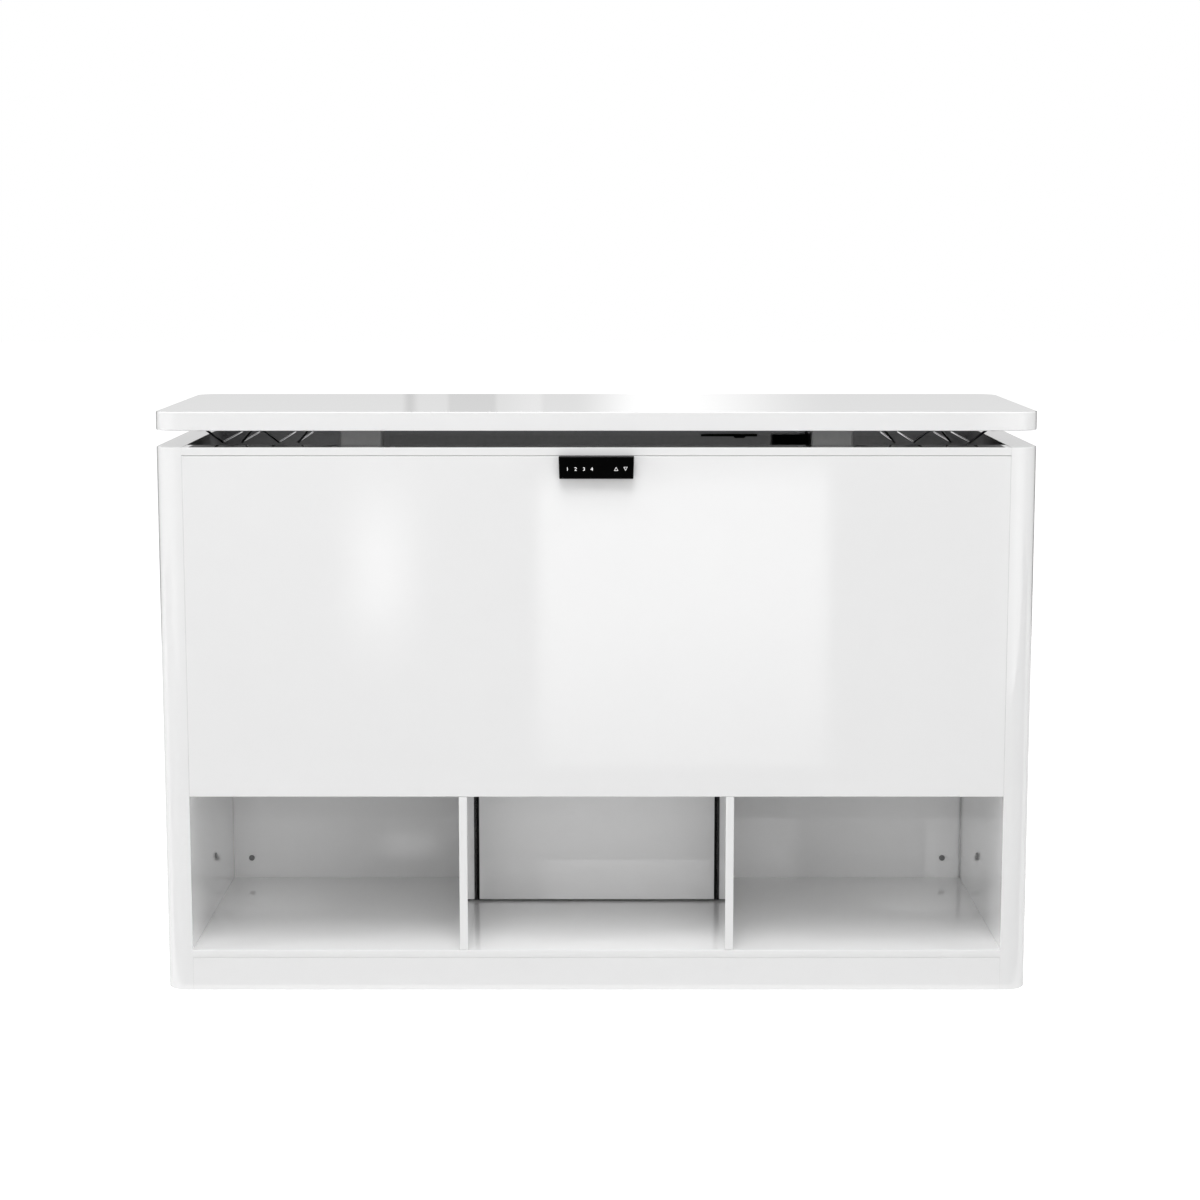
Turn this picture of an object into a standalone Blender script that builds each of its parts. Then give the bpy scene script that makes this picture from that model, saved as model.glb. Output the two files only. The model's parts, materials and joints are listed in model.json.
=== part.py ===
"""Lift bar cabinet: a lacquered carcass with three open bays, a lined well above them, and a top slab.
Two telescopic columns raise the slab together with the wire stemware fingers hung under it.

Metres, +Z up. The front faces -Y. The origin is on the floor, in the middle of the overall box.
"""

import math

import bmesh
import bpy
from mathutils import Vector

# Carcass
WIDTH = 1.600
DEPTH = 0.550
RIM_HEIGHT = 1.011
SIDE_THICKNESS = 0.050
CORNER_RADIUS = 0.040
BOARD = 0.015
BACK_THICKNESS = 0.008
PLINTH_HEIGHT = 0.0615
BAY_HEIGHT = 0.2905
CENTRE_BAY_WIDTH = 0.477
RAIL_DEPTH = 0.060
LINER = 0.003
LINER_RIM_DROP = 0.001
HATCH_SETBACK = 0.346
GROOVE_WIDTH = 0.0035
GROOVE_DEPTH = 0.005
CLEAT = 0.018

# Top slab, in the slightly raised position
SLAB_THICKNESS = 0.034
SLAB_GAP = 0.030
CLOSED_GAP = 0.002

# Lift columns
OUTER_TUBE_WIDTH = 0.080
OUTER_TUBE_DEPTH = 0.050
TUBE_RADIUS = 0.006
TUBE_WALL = 0.0015
GLIDE_GAP = 0.0025
COLLAR_HEIGHT = 0.030
FLANGE_WIDTH = 0.150
FLANGE_DEPTH = 0.100
FLANGE_THICKNESS = 0.006
PLATE_WIDTH = 0.140
PLATE_DEPTH = 0.090
PLATE_THICKNESS = 0.004
PLATE_RADIUS = 0.010
BOLT_HOLE_RADIUS = 0.0035
BOLT_EDGE = 0.014
MOTOR_LENGTH = 0.145
MOTOR_RADIUS = 0.020
GEARBOX_LENGTH = 0.040
GEARBOX_RADIUS = 0.018
BOSS_LENGTH = 0.006
BOSS_RADIUS = 0.011
SCREW_RADIUS = 0.007
NUT_HEIGHT = 0.030
NUT_INSET = 0.002

# Stemware fingers
SLOT_PITCH = 0.1049
SLOT_GAP = 0.0352
RACK_DROP = 0.0324
FLARE_RUN = 0.0485
EYE_RADIUS = 0.0068
EYE_TAIL = 0.006
WIRE_RADIUS = 0.0022
WIRE_BEND = 0.012

# Controls
KEYPAD_WIDTH = 0.136
KEYPAD_HEIGHT = 0.040
KEYPAD_DEPTH = 0.018
KEYPAD_DRAFT = 0.0012
KEYPAD_RADIUS = 0.0015
KEYPAD_RIM = 0.0015
KEYPAD_FACE = 0.0012
LEAD_HOLE_RADIUS = 0.006
BOX_WIDTH = 0.0725
BOX_DEPTH = 0.046
BOX_HEIGHT = 0.220
BOX_DROP = 0.0255
BOX_RADIUS = 0.004
BRACKET_THICKNESS = 0.0015
BRACKET_WIDTH = 0.018
BRACKET_LIP = 0.022
LEAD_RADIUS = 0.003
LEAD_RISE = 0.014
LEAD_INSET = 0.009
LEAD_FORWARD = 0.015
CLIP_BAR_LENGTH = 0.112
CLIP_BAR_HEIGHT = 0.0047
CLIP_BAR_THICKNESS = 0.0025
CLIP_BAR_X = 0.264
CLIP_BAR_OVERHANG = 0.0022
CLIP_LENGTH = 0.018
CLIP_DROP = 0.0033
CLIP_OFFSET = 0.021
SUPPLY_WIDTH = 0.150
SUPPLY_DEPTH = 0.065
SUPPLY_HEIGHT = 0.040
SUPPLY_RADIUS = 0.006
INLET_WIDTH = 0.0275
INLET_HEIGHT = 0.0205
INLET_LENGTH = 0.020
INLET_WALL = 0.0018
INLET_FLANGE = 0.005
INLET_FLANGE_THICKNESS = 0.002
INLET_X = 0.130
INLET_RISE = 0.080
PIN_WIDTH = 0.002
PIN_HEIGHT = 0.004
PIN_SPACING = 0.007
PIN_STAGGER = 0.0032
PIN_LENGTH = 0.010

# Clearances
SEAT = 0.0003
REVEAL = 0.0005
HATCH_REVEAL = 0.005
RUN_CLEARANCE = 0.005
RACK_WALL_GAP = 0.007
RACK_RAIL_GAP = 0.0265
COLUMN_RACK_GAP = 0.023
SUPPLY_BACK_GAP = 0.045
CUT_PAST = 0.004

# Edges and facets
BOARD_EDGE = 0.001
SLAB_EDGE = 0.0025
PLASTIC_EDGE = 0.0008
CORNER_STEPS = 10
TUBE_STEPS = 3
ROUND_STEPS = 20
WIRE_STEPS = 4

# Carcass planes
INNER_X = WIDTH / 2 - SIDE_THICKNESS
FRONT_Y = (KEYPAD_DEPTH - DEPTH) / 2
BACK_Y = FRONT_Y + DEPTH
MIDDLE_Y = FRONT_Y + DEPTH / 2
FASCIA_BACK_Y = FRONT_Y + BOARD
BACK_FACE_Y = BACK_Y - BACK_THICKNESS
BAY_FLOOR = PLINTH_HEIGHT + BOARD
BAY_TOP = BAY_FLOOR + BAY_HEIGHT
DECK_TOP = BAY_TOP + BOARD
WELL_FLOOR = DECK_TOP + SEAT + LINER
RAIL_UNDER = RIM_HEIGHT - BOARD
JOINT_X = INNER_X - SEAT
LINED_X = JOINT_X - LINER
SLAB_UNDER = RIM_HEIGHT + SLAB_GAP

# Lift travel down to the closed top: the slab makes all of it, the middle tubes half
SLAB_DROP = SLAB_GAP - CLOSED_GAP
STAGE_DROP = SLAB_DROP / 2

# Stemware rack and column places, stacked from the lining inwards
FINGER_HALF = (SLOT_PITCH - SLOT_GAP) / 2
RACK_HALF = SLOT_PITCH + EYE_RADIUS + WIRE_RADIUS
RACK_X = LINED_X - RACK_WALL_GAP - RACK_HALF
COLUMN_X = RACK_X - RACK_HALF - COLUMN_RACK_GAP - OUTER_TUBE_WIDTH / 2
EYE_REACH = FLARE_RUN + EYE_TAIL + EYE_RADIUS + WIRE_RADIUS
FINGER_RUN = DEPTH / 2 - RAIL_DEPTH - RACK_RAIL_GAP - EYE_REACH

# Column stack
GLIDE = GLIDE_GAP - 2 * SEAT
STAGE_STEP = 2 * (TUBE_WALL + GLIDE_GAP)
LIP_STACK = GLIDE + SEAT
BASE_TOP = WELL_FLOOR + SEAT + FLANGE_THICKNESS
PLATE_UNDER = SLAB_UNDER - SEAT - PLATE_THICKNESS
MOTOR_TOP = PLATE_UNDER - SEAT
MOTOR_LOW = MOTOR_TOP - MOTOR_LENGTH
INNER_LOW = BASE_TOP + SEAT
INNER_HIGH = MOTOR_LOW - SLAB_DROP - RUN_CLEARANCE - LIP_STACK
MIDDLE_LOW = BASE_TOP + RUN_CLEARANCE + STAGE_DROP + LIP_STACK
MIDDLE_HIGH = MOTOR_LOW - STAGE_DROP - RUN_CLEARANCE - LIP_STACK
OUTER_LOW = BASE_TOP + RUN_CLEARANCE + SLAB_DROP + LIP_STACK
OUTER_HIGH = PLATE_UNDER - SEAT
SCREW_LOW = BASE_TOP + RUN_CLEARANCE + SLAB_DROP
SCREW_HIGH = MOTOR_LOW - SEAT

PARTS_NAME = "lift_bar_cabinet"
CUTTERS_NAME = "cutters"
FINISHES = {
    "white_lacquer": ((0.90, 0.90, 0.90, 1.0), 0.08, 0.0),
    "charcoal_laminate": ((0.055, 0.055, 0.056, 1.0), 0.55, 0.0),
    "column_grey": ((0.16, 0.16, 0.16, 1.0), 0.45, 0.0),
    "black_plastic": ((0.003, 0.003, 0.003, 1.0), 0.36, 0.0),
    "keypad_glass": ((0.002, 0.002, 0.002, 1.0), 0.12, 0.0),
    "chrome_wire": ((0.72, 0.72, 0.73, 1.0), 0.10, 1.0),
    "zinc_steel": ((0.48, 0.48, 0.50, 1.0), 0.32, 1.0),
    "glide_plastic": ((0.60, 0.60, 0.58, 1.0), 0.45, 0.0),
    "stained_wood": ((0.012, 0.011, 0.010, 1.0), 0.60, 0.0),
}


def clear_scene():
    for obj in list(bpy.data.objects):
        bpy.data.objects.remove(obj, do_unlink=True)


def new_collection(name):
    found = bpy.data.collections.new(name)
    bpy.context.scene.collection.children.link(found)
    return found


def new_material(name, colour, roughness, metallic):
    made = bpy.data.materials.new(name)
    made.use_nodes = True
    shader = made.node_tree.nodes["Principled BSDF"]
    shader.inputs["Base Color"].default_value = colour
    shader.inputs["Roughness"].default_value = roughness
    shader.inputs["Metallic"].default_value = metallic
    return made


clear_scene()
PARTS = new_collection(PARTS_NAME)
CUTTERS = new_collection(CUTTERS_NAME)
MATERIALS = {name: new_material(name, *look) for name, look in FINISHES.items()}


def new_body(name, place=(0, 0, 0), parent=None):
    """An empty that carries the pieces of one rigid body, on the axis along which that body moves."""
    empty = bpy.data.objects.new(name, None)
    PARTS.objects.link(empty)
    put_under(empty, place, parent)
    return empty


def world_place(obj):
    """Where an object stands, with only moves between it and its parents."""
    place = obj.location.copy()
    return place + world_place(obj.parent) if obj.parent else place


def put_under(obj, place, parent):
    obj.parent = parent
    obj.location = Vector(place) - (world_place(parent) if parent else Vector())


def add_part(name, data, finish, body, place):
    obj = bpy.data.objects.new(name, data)
    PARTS.objects.link(obj)
    data.materials.append(MATERIALS[finish])
    put_under(obj, place, body)
    return obj


def add_cutter(name, mesh, place):
    obj = bpy.data.objects.new(name, mesh)
    CUTTERS.objects.link(obj)
    obj.location = place
    obj.hide_render = True
    obj.display_type = "WIRE"
    return obj


def boolean(obj, other, operation="DIFFERENCE"):
    made = obj.modifiers.new(f"{operation.lower()}_{other.name}", "BOOLEAN")
    made.operation = operation
    made.object = other
    made.solver = "EXACT"


def soften(obj, width, steps=2):
    """Rounds the sharp edges of a piece and leaves the facets of its curves alone."""
    made = obj.modifiers.new("edges", "BEVEL")
    made.width = width
    made.segments = steps
    made.limit_method = "ANGLE"
    made.angle_limit = math.radians(40)
    made.harden_normals = True


def finish_mesh(bm, name, smooth=False):
    mesh = bpy.data.meshes.new(name)
    bm.to_mesh(mesh)
    bm.free()
    if smooth:
        mesh.shade_smooth()
        mesh.set_sharp_from_angle(angle=math.radians(35))
    return mesh


def sign(value):
    return 1 if value > 0 else -1


def edge_side(edge, along):
    """The two sides (-1 or 1) on which an edge along that axis lies, or None for any other edge."""
    first, second = (vert.co for vert in edge.verts)
    others = [axis for axis in range(3) if axis != along]
    if any(abs(first[axis] - second[axis]) > 1e-9 for axis in others):
        return None
    return tuple(sign(first[axis]) for axis in others)


ALL_SIDES = ((-1, -1), (-1, 1), (1, -1), (1, 1))


def block(size, radius=0.0, along=2, sides=ALL_SIDES, steps=CORNER_STEPS):
    """A box round its own middle, with those of its edges along one axis rounded."""
    bm = bmesh.new()
    bmesh.ops.create_cube(bm, size=1.0)
    bmesh.ops.scale(bm, vec=size, verts=bm.verts)
    if radius > 0:
        picked = [edge for edge in bm.edges if edge_side(edge, along) in sides]
        bmesh.ops.bevel(bm, geom=picked, offset=radius, segments=steps, affect="EDGES", profile=0.5)
    return bm


def span(low, high):
    """The size and the middle of the box between two corners."""
    low, high = Vector(low), Vector(high)
    return high - low, (low + high) / 2


def board(name, low, high, finish, body, edge=BOARD_EDGE):
    size, middle = span(low, high)
    obj = add_part(name, finish_mesh(block(size), name), finish, body, middle)
    if edge:
        soften(obj, edge)
    return obj


def box_cutter(name, low, high):
    size, middle = span(low, high)
    return add_cutter(name, finish_mesh(block(size), name), middle)


def round_cutter(name, radius, length, place, along_y=False):
    bm = bmesh.new()
    bmesh.ops.create_cone(
        bm, cap_ends=True, segments=ROUND_STEPS, radius1=radius, radius2=radius, depth=length
    )
    cutter = add_cutter(name, finish_mesh(bm, name), place)
    if along_y:
        cutter.rotation_euler.x = math.radians(90)
    return cutter


def turned(name, profile, finish, body, place):
    """A solid of revolution about its own Z from (radius, height) points, from the top down."""
    mesh = bpy.data.meshes.new(name)
    points = [(radius, 0, height) for radius, height in profile]
    mesh.from_pydata(points, [(i, i + 1) for i in range(len(points) - 1)], [])
    obj = add_part(name, mesh, finish, body, place)
    screw = obj.modifiers.new("turn", "SCREW")
    screw.axis = "Z"
    screw.steps = screw.render_steps = ROUND_STEPS
    screw.use_merge_vertices = True
    screw.merge_threshold = 0.00001
    screw.use_smooth_shade = False
    return obj


def tube(name, width, depth, radius, height, wall, finish, body, place, lip=0.0, lip_high=False):
    """A rounded rectangular tube standing on its place, as an open shell thickened inwards.

    A lip is the shell turned square at one end: outwards under the tube that it closes, or inwards over
    the top of the tube that it caps.
    """
    bm = block((width, depth, height), radius, steps=TUBE_STEPS)
    bmesh.ops.translate(bm, vec=(0, 0, height / 2), verts=bm.verts)
    ends = [face for face in bm.faces if abs(face.normal.z) > 0.9]
    bmesh.ops.delete(bm, geom=ends, context="FACES_ONLY")
    if lip:
        end = height if lip_high else 0.0
        rim = [e for e in bm.edges if e.is_boundary and all(abs(v.co.z - end) < 1e-9 for v in e.verts)]
        grown = bmesh.ops.extrude_edge_only(bm, edges=rim)["geom"]
        verts = [item for item in grown if isinstance(item, bmesh.types.BMVert)]
        bmesh.ops.scale(bm, vec=(1 + 2 * lip / width, 1 + 2 * lip / depth, 1), verts=verts)
    obj = add_part(name, finish_mesh(bm, name), finish, body, place)
    shell = obj.modifiers.new("wall", "SOLIDIFY")
    shell.thickness = wall
    shell.offset = -1
    shell.use_even_offset = True
    return obj


def rounded_path(corners):
    """Points along straight runs with arcs at the corners, given as (point, radius); 0 keeps a point."""
    points = []
    for i, (corner, radius) in enumerate(corners):
        if radius == 0:
            points.append(corner)
            continue
        before = corners[i - 1][0]
        after = corners[(i + 1) % len(corners)][0]
        back = (before - corner).normalized()
        ahead = (after - corner).normalized()
        turn = math.pi - back.angle(ahead)
        trim = radius * math.tan(turn / 2)
        middle = corner + (back + ahead).normalized() * (radius / math.cos(turn / 2))
        start = corner + back * trim - middle
        end = corner + ahead * trim - middle
        for step in range(WIRE_STEPS + 1):
            part = step / WIRE_STEPS
            arm = (math.sin((1 - part) * turn) * start + math.sin(part * turn) * end) / math.sin(turn)
            points.append(middle + arm)
    return points


def wire(name, points, radius, finish, body, place, closed=False):
    curve = bpy.data.curves.new(name, "CURVE")
    curve.dimensions = "3D"
    curve.bevel_depth = radius
    curve.bevel_resolution = 2
    curve.use_fill_caps = True
    spline = curve.splines.new("POLY")
    spline.points.add(len(points) - 1)
    for point, co in zip(spline.points, points):
        point.co = (*co, 1.0)
    spline.use_cyclic_u = closed
    spline.use_smooth = True
    return add_part(name, curve, finish, body, place)


def mirrored(side, low_x, high_x):
    """The span of X on the right (1), or its mirror image on the left (-1)."""
    return (low_x, high_x) if side > 0 else (-high_x, -low_x)


def make_sides(carcass):
    size = (SIDE_THICKNESS, DEPTH, RIM_HEIGHT)
    for label, side in SIDES:
        name = f"{label}_side_panel"
        bm = block(size, CORNER_RADIUS, sides=((side, -1), (side, 1)))
        place = (side * (INNER_X + SIDE_THICKNESS / 2), MIDDLE_Y, RIM_HEIGHT / 2)
        soften(add_part(name, finish_mesh(bm, name, True), "white_lacquer", carcass, place), BOARD_EDGE)


def make_front(carcass):
    edge_x = INNER_X - REVEAL
    low = (-edge_x, FRONT_Y, BAY_TOP)
    high = (edge_x, FASCIA_BACK_Y, RAIL_UNDER - REVEAL)
    fascia = board("front_fascia", low, high, "white_lacquer", carcass)
    hole_place = (0, FASCIA_BACK_Y, RAIL_UNDER - SEAT - KEYPAD_HEIGHT / 2)
    hole_length = 2 * (BOARD + LINER + CUT_PAST)
    hole = round_cutter("keypad_lead_hole", LEAD_HOLE_RADIUS, hole_length, hole_place, along_y=True)
    boolean(fascia, hole)

    low = (-JOINT_X, FRONT_Y, RAIL_UNDER)
    board("front_top_rail", low, (JOINT_X, FRONT_Y + RAIL_DEPTH, RIM_HEIGHT), "white_lacquer", carcass)
    high = (JOINT_X, FASCIA_BACK_Y, PLINTH_HEIGHT - SEAT)
    board("front_plinth", (-JOINT_X, FRONT_Y, 0), high, "white_lacquer", carcass)
    return hole


def make_back(carcass):
    low = (-JOINT_X, BACK_Y - RAIL_DEPTH, RAIL_UNDER)
    board("rear_top_rail", low, (JOINT_X, BACK_Y, RIM_HEIGHT), "white_lacquer", carcass)
    high = (JOINT_X, BACK_Y, PLINTH_HEIGHT - SEAT)
    board("rear_plinth", (-JOINT_X, BACK_Y - BOARD, 0), high, "white_lacquer", carcass)
    low = (-JOINT_X, BACK_FACE_Y, PLINTH_HEIGHT)
    panel = board("back_panel", low, (JOINT_X, BACK_Y, RAIL_UNDER - SEAT), "white_lacquer", carcass)
    low = (JOINT_X - GROOVE_WIDTH, BACK_FACE_Y - CUT_PAST, PLINTH_HEIGHT - CUT_PAST)
    high = (JOINT_X + CUT_PAST, BACK_FACE_Y + GROOVE_DEPTH, RAIL_UNDER + CUT_PAST)
    boolean(panel, box_cutter("back_groove", low, high))
    make_inlet(carcass, panel)


def make_inlet(carcass, panel):
    """A recessed mains socket, flanged inside the back panel, with its mouth flush with the outside."""
    place = Vector((INLET_X, BACK_Y, BAY_FLOOR + INLET_RISE))
    half = Vector((INLET_WIDTH / 2, 0, INLET_HEIGHT / 2))
    room = half + Vector((SEAT, 0, SEAT))
    low = place - room - Vector((0, BACK_THICKNESS + CUT_PAST, 0))
    boolean(panel, box_cutter("inlet_opening", low, place + room + Vector((0, CUT_PAST, 0))))

    flange_y = BACK_FACE_Y - SEAT
    grown = half + Vector((INLET_FLANGE, 0, INLET_FLANGE))
    low = Vector((place.x, flange_y - INLET_FLANGE_THICKNESS, place.z)) - grown
    high = Vector((place.x, flange_y, place.z)) + grown
    inlet = board("mains_inlet", low, high, "black_plastic", carcass, edge=0)
    low = place - half - Vector((0, INLET_LENGTH, 0))
    boolean(inlet, box_cutter("inlet_body", low, place + half), "UNION")
    inner = half - Vector((INLET_WALL, 0, INLET_WALL))
    low = place - inner - Vector((0, INLET_LENGTH - INLET_WALL, 0))
    boolean(inlet, box_cutter("inlet_recess", low, place + inner + Vector((0, CUT_PAST, 0))))
    pin = Vector((PIN_WIDTH / 2, 0, PIN_HEIGHT / 2))
    root = Vector((0, INLET_LENGTH - INLET_WALL / 2, 0))
    for index in (-1, 0, 1):
        middle = place + Vector((index * PIN_SPACING, 0, PIN_STAGGER / 2 - abs(index) * PIN_STAGGER))
        tip = middle + pin - root + Vector((0, PIN_LENGTH, 0))
        boolean(inlet, box_cutter(f"inlet_pin_{index + 2}", middle - pin - root, tip), "UNION")


def make_bays(carcass):
    low = (-JOINT_X, FRONT_Y, PLINTH_HEIGHT)
    board("bottom_board", low, (JOINT_X, BACK_FACE_Y - SEAT, BAY_FLOOR), "white_lacquer", carcass)
    low = (-JOINT_X, FASCIA_BACK_Y + SEAT, BAY_TOP)
    board("well_deck", low, (JOINT_X, BACK_FACE_Y - SEAT, DECK_TOP), "white_lacquer", carcass)

    inner = CENTRE_BAY_WIDTH / 2
    hatch_y = FRONT_Y + HATCH_SETBACK
    cleat_y = hatch_y + BOARD + SEAT
    for label, side in SIDES:
        x = mirrored(side, inner, inner + BOARD)
        low = (x[0], FRONT_Y, BAY_FLOOR + SEAT)
        board(f"{label}_divider", low, (x[1], BACK_FACE_Y - SEAT, BAY_TOP - SEAT), "white_lacquer", carcass)
        x = mirrored(side, inner - SEAT - CLEAT, inner - SEAT)
        low = (x[0], cleat_y, BAY_FLOOR + SEAT)
        board(f"{label}_hatch_cleat", low, (x[1], cleat_y + CLEAT, BAY_TOP - SEAT), "stained_wood", carcass)

    half = inner - HATCH_REVEAL
    low = (-half, hatch_y, BAY_FLOOR + HATCH_REVEAL)
    board("service_hatch", low, (half, hatch_y + BOARD, BAY_TOP - HATCH_REVEAL), "white_lacquer", carcass)


def make_lining(carcass, lead_hole):
    front = FASCIA_BACK_Y + SEAT
    back = BACK_FACE_Y - SEAT
    edge_x = LINED_X - SEAT
    low = (-edge_x, front, DECK_TOP + SEAT)
    board("well_floor_liner", low, (edge_x, back, WELL_FLOOR), "charcoal_laminate", carcass, edge=0)
    low = (-edge_x, front, WELL_FLOOR + SEAT)
    high = (edge_x, front + LINER, RAIL_UNDER - SEAT)
    boolean(board("front_well_liner", low, high, "charcoal_laminate", carcass, edge=0), lead_hole)
    low = (-edge_x, back - LINER, WELL_FLOOR + SEAT)
    high = (edge_x, back, RAIL_UNDER - SEAT)
    board("rear_well_liner", low, high, "charcoal_laminate", carcass, edge=0)

    notches = (
        ("front_rail_notch", FRONT_Y, FRONT_Y + RAIL_DEPTH + SEAT),
        ("rear_rail_notch", BACK_Y - RAIL_DEPTH - SEAT, BACK_Y),
    )
    reach = WIDTH / 2
    cutters = [
        box_cutter(name, (-reach, low_y, RAIL_UNDER - SEAT), (reach, high_y, RIM_HEIGHT))
        for name, low_y, high_y in notches
    ]
    for label, side in SIDES:
        x = mirrored(side, LINED_X, JOINT_X)
        low = (x[0], front, DECK_TOP + SEAT)
        high = (x[1], back, RIM_HEIGHT - LINER_RIM_DROP)
        liner = board(f"{label}_well_liner", low, high, "charcoal_laminate", carcass, edge=0)
        for cutter in cutters:
            boolean(liner, cutter)


def keypad_block(inset, depth):
    """The keypad's outline, slightly narrower at its lower edge, drawn in by an inset."""
    width = KEYPAD_WIDTH - 2 * inset
    height = KEYPAD_HEIGHT - 2 * inset
    bm = block((width, depth, height))
    for vert in bm.verts:
        if vert.co.z < 0:
            vert.co.x -= sign(vert.co.x) * KEYPAD_DRAFT
    picked = [edge for edge in bm.edges if edge_side(edge, 1)]
    radius = max(KEYPAD_RADIUS - inset, PLASTIC_EDGE)
    bmesh.ops.bevel(bm, geom=picked, offset=radius, segments=TUBE_STEPS, affect="EDGES", profile=0.5)
    return bm


def make_keypad(carcass):
    middle_z = RAIL_UNDER - SEAT - KEYPAD_HEIGHT / 2
    front_y = FRONT_Y - KEYPAD_DEPTH
    depth = KEYPAD_DEPTH - SEAT
    mesh = finish_mesh(keypad_block(0, depth), "keypad_housing")
    housing = add_part("keypad_housing", mesh, "black_plastic", carcass, (0, front_y + depth / 2, middle_z))
    soften(housing, PLASTIC_EDGE)
    recess = KEYPAD_FACE + SEAT
    mesh = finish_mesh(keypad_block(KEYPAD_RIM, 2 * recess), "keypad_recess")
    boolean(housing, add_cutter("keypad_recess", mesh, (0, front_y, middle_z)))
    mesh = finish_mesh(keypad_block(KEYPAD_RIM + SEAT, KEYPAD_FACE), "keypad_face")
    add_part("keypad_face", mesh, "keypad_glass", carcass, (0, front_y + KEYPAD_FACE / 2, middle_z))


def make_supply(carcass):
    name = "power_supply"
    size = (SUPPLY_WIDTH, SUPPLY_DEPTH, SUPPLY_HEIGHT)
    mesh = finish_mesh(block(size, SUPPLY_RADIUS, steps=TUBE_STEPS), name, True)
    y = BACK_FACE_Y - SUPPLY_BACK_GAP - SUPPLY_DEPTH / 2
    supply = add_part(name, mesh, "black_plastic", carcass, (0, y, BAY_FLOOR + SEAT + SUPPLY_HEIGHT / 2))
    soften(supply, PLASTIC_EDGE)


def make_clip_bar(carcass):
    """A slim strip along the lower edge of the rear rail, with a clip below it for the supply lead."""
    half = CLIP_BAR_LENGTH / 2
    clip_left = CLIP_OFFSET - CLIP_LENGTH / 2
    clip_right = CLIP_OFFSET + CLIP_LENGTH / 2
    outline = [
        (-half, 0),
        (clip_left - CLIP_DROP, 0),
        (clip_left, -CLIP_DROP),
        (clip_right, -CLIP_DROP),
        (clip_right + CLIP_DROP, 0),
        (half, 0),
        (half, CLIP_BAR_HEIGHT),
        (-half, CLIP_BAR_HEIGHT),
    ]
    curve = bpy.data.curves.new("lead_clip_bar", "CURVE")
    curve.dimensions = "2D"
    curve.fill_mode = "BOTH"
    curve.extrude = CLIP_BAR_THICKNESS / 2
    spline = curve.splines.new("POLY")
    spline.points.add(len(outline) - 1)
    for point, (x, z) in zip(spline.points, outline):
        point.co = (x, z, 0, 1)
    spline.use_cyclic_u = True
    y = BACK_Y - RAIL_DEPTH - SEAT - CLIP_BAR_THICKNESS / 2
    place = (CLIP_BAR_X, y, RAIL_UNDER - CLIP_BAR_OVERHANG)
    bar = add_part("lead_clip_bar", curve, "black_plastic", carcass, place)
    bar.rotation_euler.x = math.radians(90)


def drilled_plate(name, width, depth, thickness, body, place):
    """A steel plate with rounded corners and a bolt hole at each."""
    mesh = finish_mesh(block((width, depth, thickness), PLATE_RADIUS, steps=TUBE_STEPS), name)
    plate = add_part(name, mesh, "zinc_steel", body, place)
    for index, (side_x, side_y) in enumerate(ALL_SIDES):
        x = place[0] + side_x * (width / 2 - BOLT_EDGE)
        y = place[1] + side_y * (depth / 2 - BOLT_EDGE)
        length = thickness + 2 * CUT_PAST
        boolean(plate, round_cutter(f"{name}_hole_{index + 1}", BOLT_HOLE_RADIUS, length, (x, y, place[2])))
    return plate


def tube_size(stage):
    """Outer width, depth and corner radius of a tube; stage 0 is the outer one."""
    shrink = stage * STAGE_STEP
    return OUTER_TUBE_WIDTH - shrink, OUTER_TUBE_DEPTH - shrink, TUBE_RADIUS - shrink / 4


def glide_size(stage):
    """Outer width, depth and corner radius of the plastic between that tube and the next one in."""
    width, depth, radius = tube_size(stage)
    inset = TUBE_WALL + SEAT
    return width - 2 * inset, depth - 2 * inset, max(radius - inset, TUBE_WALL)


def make_column(label, side, carcass, lift):
    x = side * COLUMN_X
    axis = (x, MIDDLE_Y, BASE_TOP)
    stage = new_body(f"{label}_middle_stage", axis, carcass)

    def standing(z):
        return (x, MIDDLE_Y, z)

    place = standing(WELL_FLOOR + SEAT + FLANGE_THICKNESS / 2)
    drilled_plate(f"{label}_column_base", FLANGE_WIDTH, FLANGE_DEPTH, FLANGE_THICKNESS, carcass, place)
    place = standing(PLATE_UNDER + PLATE_THICKNESS / 2)
    drilled_plate(f"{label}_column_top_plate", PLATE_WIDTH, PLATE_DEPTH, PLATE_THICKNESS, lift, place)

    tubes = (
        ("outer", lift, OUTER_LOW, OUTER_HIGH),
        ("middle", stage, MIDDLE_LOW, MIDDLE_HIGH),
        ("inner", carcass, INNER_LOW, INNER_HIGH),
    )
    for index, (stage_label, body, low, high) in enumerate(tubes):
        name = f"{label}_{stage_label}_tube"
        tube(name, *tube_size(index), high - low, TUBE_WALL, "column_grey", body, standing(low))

    # A collar closes the foot of each moving tube, and a guide caps the head of the tube inside it.
    # A guide's lip covers half of that tube's wall, so that the next guide in can pass it.
    collar_lip = SEAT + TUBE_WALL
    guide_lip = -(GLIDE + SEAT + TUBE_WALL / 2)
    collars = (("outer_collar", lift, OUTER_LOW), ("middle_collar", stage, MIDDLE_LOW))
    for index, (name, body, low) in enumerate(collars):
        foot = standing(low - SEAT)
        tube(
            f"{label}_{name}", *glide_size(index), COLLAR_HEIGHT, GLIDE, "glide_plastic", body, foot,
            lip=collar_lip,
        )
    guides = (("middle_guide", stage, MIDDLE_HIGH), ("inner_guide", carcass, INNER_HIGH))
    for index, (name, body, high) in enumerate(guides):
        foot = standing(high + SEAT + GLIDE - COLLAR_HEIGHT)
        tube(
            f"{label}_{name}", *glide_size(index), COLLAR_HEIGHT, GLIDE, "glide_plastic", body, foot,
            lip=guide_lip, lip_high=True,
        )
    make_drive(label, x, carcass, lift)


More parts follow.
